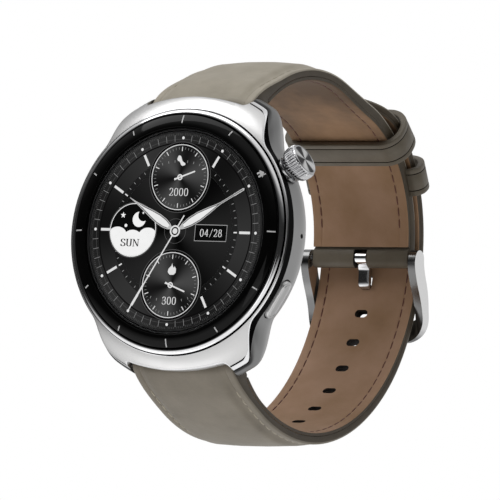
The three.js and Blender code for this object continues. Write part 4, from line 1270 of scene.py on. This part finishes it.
def faces_of(offset, edge, total, tail):
    """Heights of the inner face, the edge of the outer face, and the padding, at a length."""
    def heights(length):
        if length < 0:
            half = math.sqrt(max(0.01, STRAP_END_RADIUS ** 2 - length ** 2))
            return offset - half, offset + half, 0.5 * float(smooth(1 + length / 2))
        blend = float(smooth(length / BLEND_LENGTH))
        pad = STRAP_PAD * (1 - float(smooth((length - PAD_LENGTH) / PAD_FADE)))
        pad *= min(1, 0.45 + 0.55 * float(smooth(length / 6)))
        low = mix(offset - STRAP_END_RADIUS, 0, blend)
        high = mix(offset + STRAP_END_RADIUS, edge, blend)
        if tail:
            high -= (STRAP_EDGE - TAIL_EDGE) * float(smooth((length - TAIL_THINS) / TAIL_FADE))
        else:
            past = length - total
            fold = float(smooth((length - FOLD_START) / FOLD_FADE))
            near = float(smooth((length - (total - FOLD_TIP)) / FOLD_TIP))
            half = TOP_END_HALF
            if past > 0:
                half = math.sqrt(max(0.01, half ** 2 - past ** 2))
                return TOP_END_OFFSET - half, TOP_END_OFFSET + half, 0.0
            low = mix(low + FOLD_INNER * fold, TOP_END_OFFSET - half, near)
            high = mix(high + (FOLD_OUTER - STRAP_EDGE) * fold, TOP_END_OFFSET + half, near)
        return low, high, pad
    return heights


TOP_FACES = faces_of(TOP_OFFSET, STRAP_EDGE, TOP_LENGTH, False)
BOTTOM_FACES = faces_of(BOTTOM_OFFSET, STRAP_EDGE, BOTTOM_LENGTH, True)
MARGIN = 1.95
STITCH_IN = 1.5
CORNER = 0.4
CUT_EDGE = 0.12
LINING_GAP = 0.06
FROM_EDGE = [0.0, 0.03, 0.1, 0.2, 0.4, 0.8, 1.15, 1.33, 1.42, 1.5, 1.58, 1.67, 1.85, 2.1, 2.4,
             2.8, 3.3, 4.0, 5.0, 6.4, 8.2]


def round_off(from_edge, radius):
    """How far a rounded edge lies under the face it belongs to."""
    return radius - math.sqrt(max(0.0, radius ** 2 - max(0.0, radius - from_edge) ** 2))


def groove(from_edge, seam, depth, width):
    """How far a seam sinks into the leather."""
    return depth * math.exp(-((from_edge - seam) / width) ** 2)


def outer_lift(from_edge, pad):
    """How far the outer face stands over its edge height."""
    swell = 0.68 * float(smooth((from_edge - MARGIN + 0.25) / 1.5))
    swell += 0.32 * float(smooth((from_edge - MARGIN) / 7))
    return pad * swell - round_off(from_edge, CORNER) - groove(from_edge, STITCH_IN, 0.13, 0.16)


def standing(route, number, section):
    """A section of (x, height) set up at one point of a route."""
    (y, z), (out_y, out_z) = route.points[number], route.out[number]
    return [(x, y + out_y * h, z + out_z * h) for x, h in section]


def strap_outer(route, faces, half_width, lining_end):
    loops = []
    for number, length in enumerate(route.length):
        low, high, pad = faces(length)
        half = float(half_width(length))
        squeeze = half / HALF_LUG
        lined = smooth((length - LINING_START) / 0.25) * smooth((lining_end - length) / 0.25)
        inner = low + (LINING_THICK + LINING_GAP) * float(lined)
        inner = min(inner, high - 0.5) if high - low > 1.2 else low
        rounding = min(1.0, (high - low) / 2.0)
        section = [(-half + d * squeeze, high + outer_lift(d, pad) * rounding) for d in FROM_EDGE]
        section.append((0.0, high + outer_lift(HALF_LUG, pad) * rounding))
        section += [(-x, h) for x, h in section[-2::-1]]
        section += [(half, inner + CUT_EDGE), (half - CUT_EDGE, inner), (0.0, inner),
                    (-half + CUT_EDGE, inner), (-half, inner + CUT_EDGE)]
        loops.append(standing(route, number, section))
    strips = [0] * len(loops[0])
    for painted in (0, 1, 4, 5):
        strips[2 * len(FROM_EDGE) + painted] = 1
    return loft(loops, side_finish=strips, cap_finish=1)


LINING_SEAM = 2.0
LINING_CORNER = 0.16
LINING_FROM_EDGE = [0.0, 0.05, 0.16, 0.6, 1.4, 1.8, 1.92, 2.0, 2.08, 2.2, 2.6, 4.0, 7.0]


def strap_lining(route, faces, half_width, lining_end):
    loops = []
    for number, length in enumerate(route.length):
        if not LINING_START + 0.1 < length < lining_end:
            continue
        low = faces(length)[0]
        half = float(half_width(length)) - 0.05
        squeeze = half / HALF_LUG
        section = []
        for d in LINING_FROM_EDGE:
            height = low + round_off(d, LINING_CORNER) + groove(d, LINING_SEAM, 0.09, 0.12)
            section.append((-half + d * squeeze, height))
        section.append((0.0, low))
        section += [(-x, h) for x, h in section[-2::-1]]
        section += [(half, low + LINING_THICK), (-half, low + LINING_THICK)]
        loops.append(standing(route, number, section))
    strips = [0] * len(loops[0])
    strips[2 * len(LINING_FROM_EDGE)] = 1
    strips[-1] = 1
    return loft(loops, side_finish=strips, cap_finish=1)


def stitch(start, end, lift, radius):
    """One thread stitch between two points, with its ends sunk into the leather."""
    start, end, lift = Vector(start), Vector(end), Vector(lift).normalized()
    along = (end - start).normalized()
    side = along.cross(lift)
    loops = []
    for share, rise, size in ((0.0, -0.5, 0.55), (0.1, 0.1, 0.95), (0.3, 0.42, 1.0), (0.5, 0.5, 1.0),
                              (0.7, 0.42, 1.0), (0.9, 0.1, 0.95), (1.0, -0.5, 0.55)):
        centre = start.lerp(end, share) + lift * rise * radius
        loops.append([tuple(centre + side * (radius * size * math.cos(a))
                            + lift * (radius * size * 0.8 * math.sin(a)))
                      for a in [math.pi / 3 * k for k in range(6)]])
    return loft(loops)


def stitches(route, faces, half_width, inset, outer, start, end, radius):
    parts = []
    count = round((end - start) / STITCH_STEP)
    sign = 1 if outer else -1
    for i in range(count):
        for side in (-1, 1):
            ends = []
            for share in (0.1, 0.9):
                length = mix(start, end, (i + share) / count)
                point, out = route.at(length)
                low, high, pad = faces(length)
                half = float(half_width(length))
                height = high + outer_lift(inset, pad) if outer else low + 0.06
                x = side * (half - inset * half / HALF_LUG)
                ends.append((x, point[0] + out[0] * height, point[1] + out[1] * height))
            parts.append(stitch(*ends, (0, sign * out[0], sign * out[1]), radius))
    return together(*parts)


# Places that the strap is cut for: spring bars, pin knobs, tongue, fixed keeper and holes.
BUCKLE_BAR = on_arc(KEEPER_CENTRE, KEEPER_ARC + TOP_END_OFFSET, BUCKLE_BAR_ANGLE)
KEEPER_FIXED_ANGLE = -59.5
KEEPER_FREE_ANGLE = -39.7
KEEPER_BAND = 5.4
KEEPER_WALL = 1.2
KEEPER_FREE_LOW = KEEPER_ARC + FOLD_INNER - 0.4
KEEPER_FREE_HIGH = TAIL_ARC + TAIL_EDGE + 1.8
KEEPER_FIXED_HIGH = TAIL_ARC + TAIL_EDGE + 2.5
FIXED_LEG = 0.5
FIXED_LOW = KEEPER_ARC + 1.55
KNOB_X = 6.2
PIN_TRAVEL = 1.6
SPRING_BAR_BORE = 0.95
BUCKLE_BAR_BORE = 0.75


def bore(radius, y, z):
    """A cutter right across the strap."""
    return along_x(radius, -14, 14, y, z)


def bar_hole(y):
    return bore(SPRING_BAR_BORE, y, BAR_Z)


def knob_window(y):
    return block((PIN_TRAVEL + 2.6, 2, 3), (KNOB_X - PIN_TRAVEL / 2, y, BAR_Z - 2.1))


def about_keeper(part, angle):
    """Turns what is made with its outward direction along +Y so that it sits on the keeper arc."""
    turn = math.radians(angle)
    out = (0, math.cos(turn), math.sin(turn))
    along = (0, -math.sin(turn), math.cos(turn))
    matrix = Matrix(((1, 0, 0, 0), (0, out[1], along[1], KEEPER_CENTRE[0]),
                     (0, out[2], along[2], KEEPER_CENTRE[1]), (0, 0, 0, 1)))
    return moved(part, matrix)


def keeper_slot():
    middle = FIXED_LOW - FIXED_LEG / 2
    return about_keeper(block((40, FIXED_LEG + 0.2, KEEPER_BAND + 0.3), (0, middle, 0)),
                        KEEPER_FIXED_ANGLE)


def strap_hole(centre, radius, angle, outline):
    """A cutter for one hole, whose walls take the painted shade. Its outline is (along, across) the
    strap.
    """
    part = extrude(outline, radius - 3, radius + 6, 2)
    part = moved(part, Matrix.Rotation(math.pi / 2, 4, "Z"))
    turn = Matrix.Rotation(math.radians(angle) - math.pi / 2, 4, "X")
    return moved(part, Matrix.Translation((0, centre[0], centre[1])) @ turn)


HOLE_PITCH = 9.7
FREE_HOLE = capsule_outline(2.76, 1.56)
USED_HOLE_ANGLE = -97.1
USED_HOLE = [(-1.45, -0.75), (-1.1, -1.09), (1.1, -1.09), (1.45, -0.75), (1.45, 0.75), (1.1, 1.09),
             (-1.1, 1.09), (-1.45, 0.75)]
HOLES = [strap_hole(BOTTOM_CENTRE, BOTTOM_RADIUS, USED_HOLE_ANGLE - HOLE_PITCH * i, FREE_HOLE)
         for i in range(1, 7)]
HOLES += [strap_hole(BOTTOM_CENTRE, BOTTOM_RADIUS, USED_HOLE_ANGLE, USED_HOLE),
          strap_hole(KEEPER_CENTRE, TAIL_ARC, -90 + TAIL_TURN + HOLE_PITCH, FREE_HOLE)]
# The tongue's slot takes the painted shade on its walls.
TOP_CUTS = [bar_hole(BAR_Y), knob_window(BAR_Y),
            bore(BUCKLE_BAR_BORE, *BUCKLE_BAR),
            block((2.9, 6.3, 8), (0, BUCKLE_BAR[0] - 1.65, BUCKLE_BAR[1]), 2), keeper_slot()]
BOTTOM_CUTS = [bar_hole(-BAR_Y), knob_window(-BAR_Y), *HOLES]


def with_painted_shade_fold(part, reach=7.0):
    """Gives the leather folded round the buckle bar the darker leather, as painted shade."""
    points, faces, numbers = part
    middle = np.array([0, *BUCKLE_BAR])
    numbers = [3 if number == 0 and np.hypot(*(points[list(face)].mean(0) - middle)[1:]) < reach
               else number for face, number in zip(faces, numbers)]
    return points, faces, numbers


LININGS = [LINING, EDGE_PAINT, RECESS_PAINTED_SHADE]
TOP_LEATHER = with_painted_shade_fold(strap_outer(TOP, TOP_FACES, top_half, TOP_LENGTH - 2.1))
BOTTOM_LEATHER = strap_outer(BOTTOM, BOTTOM_FACES, bottom_half, BOTTOM_LENGTH + 9)
piece("strap_top_leather", TOP_LEATHER, "strap_top",
      [LEATHER, EDGE_PAINT, RECESS_PAINTED_SHADE, SHADED_LEATHER], stands_for=["strap_top_outer"],
      cutters=TOP_CUTS, sharp=50)
piece("strap_bottom_leather", BOTTOM_LEATHER, "strap_bottom",
      [LEATHER_PAINTED_SHADE, EDGE_PAINT, RECESS_PAINTED_SHADE], stands_for=["strap_bottom_outer"],
      cutters=BOTTOM_CUTS, sharp=50)
for end, strap, lining_end, sewn_end, cutters in (
        ("top", (TOP, TOP_FACES, top_half), TOP_LENGTH - 2.1, TOP_LENGTH - 6, []),
        ("bottom", (BOTTOM, BOTTOM_FACES, bottom_half), BOTTOM_LENGTH + 1, BOTTOM_LENGTH - 10, HOLES)):
    body = f"strap_{end}"
    piece(f"{body}_inside", strap_lining(*strap, lining_end), body, LININGS,
          stands_for=[f"{body}_lining"], cutters=cutters, sharp=50)
    piece(f"stitches_{end}_outside", stitches(*strap, STITCH_IN, True, 4.5, sewn_end, 0.16), body,
          THREAD)
    piece(f"stitches_{end}_inside", stitches(*strap, LINING_SEAM, False, 4.5, sewn_end, 0.13), body,
          THREAD_DARK)


# ---- keepers
def corner_path(half, low, high, low_corner, high_corner, steps=14):
    """A rectangle of (x, height) with its upper and lower corners rounded apart."""
    points = []
    for cx, cz, radius, first in ((half - high_corner, high - high_corner, high_corner, 0),
                                  (-half + high_corner, high - high_corner, high_corner, 90),
                                  (-half + low_corner, low + low_corner, low_corner, 180),
                                  (half - low_corner, low + low_corner, low_corner, 270)):
        for i in range(steps + 1):
            x, z = polar(radius, first + 90 * i / steps)
            points.append((cx + x, cz + z))
    return points


def keeper(low, high, leg, low_corner, high_corner, spread):
    """A leather band bent into a loop: section points run across the band, on both faces."""
    half = HALF_BUCKLE + spread
    inner = corner_path(half, low, high, low_corner, high_corner)
    outer = corner_path(half + KEEPER_WALL, low - leg, high + KEEPER_WALL, low_corner + min(leg, 1.0),
                        high_corner + KEEPER_WALL)
    reach = KEEPER_BAND / 2
    crease = reach - 1.05
    section = [(0.0, 0.12 - reach), (0.0, 0.0), (0.0, reach - 0.12), (0.12, reach), (0.86, reach),
               (0.96, reach - 0.09), (1.0, reach - 0.3), (1.0, crease + 0.14), (0.97, crease + 0.09),
               (0.78, crease), (0.97, crease - 0.09), (1.0, crease - 0.14), (1.0, 0.0)]
    section += [(share, -along) for share, along in section[11:2:-1]]
    loops = []
    for a, b in zip(inner, outer):
        loops.append([(mix(a[0], b[0], share), mix(a[1], b[1], share), along)
                      for share, along in section])
    numbers = [0] * len(section)
    # The crease faces take the painted shade.
    for j in (8, 9, 14, 15):
        numbers[j] = 1
    return loft(loops, closed=True, side_finish=numbers)


KEEPERS = {"fixed": ("strap_top", KEEPER_FIXED_ANGLE,
                     (FIXED_LOW, KEEPER_FIXED_HIGH, FIXED_LEG, 1.4, 4.6, 1.15)),
           "free": ("keeper", KEEPER_FREE_ANGLE,
                    (KEEPER_FREE_LOW, KEEPER_FREE_HIGH, KEEPER_WALL, 2.9, 4.4, 1.1))}
for kind, (body, angle, sizes) in KEEPERS.items():
    piece(f"keeper_loop_{kind}", about_keeper(keeper(*sizes), angle), body,
          [SHADED_LEATHER, RECESS_PAINTED_SHADE], stands_for=[f"keeper_{kind}"], sharp=50)


# ---- buckle
ARM_INNER = 11.0
ARM_OUTER = 12.6
CROSSBAR_START = -11.6
CROSSBAR_END = -16.0
FRAME_CORNER = 5.2
WINDOW_CORNER = 2
CUT_HEIGHT = 10
OVER_TAIL = 0.85
BAR_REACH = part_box("buckle_bar")[1].x / MM + 0.02
FRAME_SIDE = [(1.5, 1.85, -0.9, 2), (-2.6, 1.9, -5.9, -0.05), (-9.3, -2.2, -12.2, -2.7),
              (-14, -2.9, CROSSBAR_END, -2.6), (CROSSBAR_END, -3, CROSSBAR_END + 0.3, -3.8),
              (-13, -5.4, -9.6, -4.5), (-6.4, -4.1, -3.6, -2.55), (-1.5, -1.5, -0.3, -1.4),
              (1.4, -1.3, 1.5, 0.3)]


def buckle_frame():
    """The frame's side outline, drawn out across the strap."""
    bar_y, bar_z = BUCKLE_BAR
    points = [(bar_y + 1.5, bar_z + 0.3)]
    for bend_y, bend_z, end_y, end_z in FRAME_SIDE:
        points += bezier(points[-1], (bar_y + bend_y, bar_z + bend_z), (bar_y + end_y, bar_z + end_z),
                         8)
    return side_extrude(points[:-1], -ARM_OUTER, ARM_OUTER)


def frame_cuts():
    """The window between the arms, the round corners in plan, the tail's room and the bar's bore."""
    bar_y, bar_z = BUCKLE_BAR
    start = bar_y + CROSSBAR_START
    end = bar_y + CROSSBAR_END
    far = ARM_INNER - WINDOW_CORNER
    side = start + WINDOW_CORNER
    window = [(-ARM_INNER, bar_y + 4), (-ARM_INNER, side)]
    window += bezier((-ARM_INNER, side), (-ARM_INNER, start), (-far, start), 8)
    window += [(far, start)] + bezier((far, start), (ARM_INNER, start), (ARM_INNER, side), 8)
    window.append((ARM_INNER, bar_y + 4))
    cuts = [extrude(window, bar_z - CUT_HEIGHT, bar_z + CUT_HEIGHT)]
    for hand in (-1, 1):
        edge = hand * ARM_OUTER
        inside = hand * (ARM_OUTER - FRAME_CORNER)
        corner = [(edge, end + FRAME_CORNER)]
        corner += bezier((edge, end + FRAME_CORNER), (edge, end), (inside, end), 16)
        corner += [(inside, end - 2), (edge + 2 * hand, end - 2), (edge + 2 * hand, end + FRAME_CORNER)]
        cuts.append(extrude(corner, bar_z - CUT_HEIGHT, bar_z + CUT_HEIGHT))
    cuts.append(along_x(BOTTOM_RADIUS + STRAP_EDGE + OVER_TAIL, -ARM_INNER, ARM_INNER,
                        *BOTTOM_CENTRE, 360))
    cuts.append(along_x(BUCKLE_BAR_BORE, -BAR_REACH, BAR_REACH, *BUCKLE_BAR, 40))
    return cuts


# The frame's side faces carry a painted highlight, its other faces painted dark reflection.
piece("buckle_steel", buckle_frame(), "buckle", BUCKLE_PAINTED_REFLECTION,
      stands_for=["buckle_frame"], cutters=frame_cuts(), bevel=0.22, sharp=35)


def curve_through(points, steps):
    """A smooth line through points."""
    points = [np.array(p, float) for p in points]
    padded = [2 * points[0] - points[1], *points, 2 * points[-1] - points[-2]]
    out = []
    for i in range(1, len(padded) - 2):
        a, b, c, d = padded[i - 1:i + 3]
        for k in range(steps):
            t = k / steps
            out.append(0.5 * (2 * b + (c - a) * t + (2 * a - 5 * b + 4 * c - d) * t * t
                              + (3 * b - a - 3 * c + d) * t ** 3))
    out.append(points[-1])
    return out


# The tongue's middle line from the bar through the used hole to its rest on the crossbar.
TONGUE_PATH = [(-0.9, -0.3), (-1.7, -0.75), (-2.3, -1.0), (-4.4, -1.2), (-5.05, -1.4),
               (-5.4, -1.95), (-5.55, -2.7), (-5.85, -3.75), (-6.9, -5.05), (-10.5, -5.65),
               (-13.7, -5.5)]
TONGUE_HALF = 0.48
TONGUE_CORNER = 0.13


def tongue():
    bar_y, bar_z = BUCKLE_BAR
    line = curve_through([(bar_y + y, bar_z + z) for y, z in TONGUE_PATH], 6)
    loops = []
    for i, here in enumerate(line):
        ahead = line[min(len(line) - 1, i + 1)] - line[max(0, i - 1)]
        ahead = ahead / np.linalg.norm(ahead)
        away = np.array([-ahead[1], ahead[0]])
        t = i / (len(line) - 1)
        width = mix(1.2, 1.02, float(smooth((t - 0.3) / 0.2)))
        width *= mix(1.0, 0.85, float(smooth((t - 0.8) / 0.2)))
        high = TONGUE_HALF
        outline = fillet([(-width, -high), (width, -high), (width, high), (-width, high)],
                         TONGUE_CORNER)
        loops.append([(x, *(here + away * h)) for x, h in outline])
    return loft(loops)


EYE_BORE = along_x(0.72, -4, 4, *BUCKLE_BAR)
piece("tongue_bar", tongue(), "tongue", DIM_STEEL, stands_for=["buckle_tongue"],
      cutters=[EYE_BORE], sharp=40)
piece("tongue_eye", along_x(1.25, -1.2, 1.2, *BUCKLE_BAR, 48), "tongue", POLISHED,
      cutters=[EYE_BORE], bevel=0.12, sharp=40)


# ---- finishes of the frame's own nodes
NODE_FINISHES = [
    (GLASS, ["cover_glass"]), (SATIN, ["back_cover"]), (BLACK_GLOSS, ["sensor_window"]),
    (DIM_STEEL, ["crown_tube"]), (COPPER, ["display_flex"]), (FOIL, ["battery", "vibration_motor"]),
    (BOARD, ["mainboard", "sensor_board"]), (GOLD, ["charge_contact_1", "charge_contact_2"]),
    (RUBBER, ["front_gasket", "back_gasket", "crown_seal", "key_seal"]),
    (BLACK_PLASTIC, ["glass_seat", "display_panel", "inner_chassis", "speaker", "crown_bush",
                     "crown_encoder", "key_switch"]),
    (POLISHED, ["crown_stem", "key_plunger", "buckle_bar", "spring_bar_top", "spring_bar_bottom",
                "release_pin_top", "release_pin_bottom", "bar_spring_top", "bar_spring_bottom",
                "back_screw_1", "back_screw_2", "back_screw_3", "back_screw_4"])]
NODE_FINISH = {name: finish for finish, names in NODE_FINISHES for name in names}
SEEN = ["back_cover", "sensor_window", "charge_contact", "crown_tube", "glass_seat", "buckle_bar",
        "spring_bar", "release_pin", "cover_glass", "back_screw"]

for name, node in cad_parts.items():
    if name in NODE_FINISH:
        node.data.materials.clear()
        node.data.materials.append(NODE_FINISH[name])
    if any(name.startswith(seen) for seen in SEEN):
        if "custom_normal" in node.data.attributes:
            node.data.attributes.remove(node.data.attributes["custom_normal"])
        node.data.polygons.foreach_set("use_smooth", [True] * len(node.data.polygons))
        weld = node.modifiers.new("weld", "WELD")
        weld.merge_threshold = 0.002 * MM
        soft = node.modifiers.new("edges", "BEVEL")
        soft.width = 0.05 * MM
        soft.segments = 2
        soft.limit_method = "ANGLE"
        soft.angle_limit = math.radians(30)
        soft.harden_normals = True


# ---- floor, light and surroundings
def make_floor():
    size = 6.0
    z = CAD_LOW.z - 0.0005
    mesh = bpy.data.meshes.new("floor")
    mesh.from_pydata([(-size, -size, z), (size, -size, z), (size, size, z), (-size, size, z)], [],
                     [(0, 1, 2, 3)])
    floor = link("floor", mesh)
    made = Finish("floor", grey(0.0), 1.0, 0.0, Specular_IOR_Level=0.0, Emission_Strength=1.0)
    made.shader.inputs["Emission Color"].default_value = (1, 1, 1, 1)
    mesh.materials.append(made.material)
    floor.visible_glossy = False
    floor.visible_diffuse = False
    floor.visible_shadow = False


make_floor()


def add_light(name, direction, distance, width, height, radiance):
    """A soft box that faces the watch."""
    data = bpy.data.lights.new(name, "AREA")
    data.shape = "RECTANGLE"
    data.size = width
    data.size_y = height
    data.energy = radiance * math.pi * width * height
    lamp = bpy.data.objects.new(name, data)
    bpy.context.scene.collection.objects.link(lamp)
    away = Vector(direction).normalized()
    lamp.location = (CAD_LOW + CAD_HIGH) / 2 + away * distance
    lamp.rotation_mode = "QUATERNION"
    lamp.rotation_quaternion = (-away).to_track_quat("-Z", "Y")
    return lamp


add_light("box_above", (-0.38, 0.80, 0.46), 0.7, 0.62, 0.36, 2.2)
add_light("box_below", (-0.40, -0.86, 0.32), 0.7, 0.60, 0.30, 0.6)
add_light("box_right", (0.95, 0.12, -0.28), 0.8, 0.30, 0.50, 0.4)
add_light("box_zenith", (0.14, -0.24, 0.96), 0.8, 0.22, 0.26, 0.9)


def make_world():
    """A white floor below, bright walls towards 12 and 6 o'clock, and dark elsewhere."""
    world = bpy.data.worlds.new("surroundings")
    bpy.context.scene.world = world
    world.use_nodes = True
    sky = Nodes(world.node_tree)
    way = sky.split(sky.node("TexCoord").outputs["Generated"])
    across = sky.maths("MULTIPLY_ADD", way["Y"], 0.5, 0.5)
    up = sky.maths("MULTIPLY_ADD", way["Z"], 0.5, 0.5)

    def tone(value, *stops):
        return sky.ramp(value, [(place, grey(level)) for place, level in stops])

    walls = tone(across, (0.0, 0.80), (0.28, 0.80), (0.35, 0.40), (0.42, 0.02), (0.6, 0.02),
                 (0.69, 0.12), (0.76, 0.42), (0.83, 0.58), (0.94, 0.62), (1.0, 0.85))
    ground = tone(across, (0.0, 0.36), (0.28, 0.36), (0.4, 0.53), (0.6, 0.53), (0.72, 0.36),
                  (1.0, 0.36))
    share = tone(up, (0.0, 1.0), (0.10, 1.0), (0.32, 0.0), (1.0, 0.0))
    blend = sky.node("Mix", data_type="RGBA")
    sky.link(share, blend.inputs["Factor"])
    first, second = [socket for socket in blend.inputs if socket.type == "RGBA"]
    sky.link(walls, first)
    sky.link(ground, second)
    output = [socket for socket in blend.outputs if socket.type == "RGBA"][0]
    background = sky.tree.nodes["Background"]
    sky.link(output, background.inputs["Color"])
    background.inputs["Strength"].default_value = 1.25


make_world()
bpy.context.scene.view_settings.view_transform = "Standard"
bpy.context.scene.view_settings.look = "None"
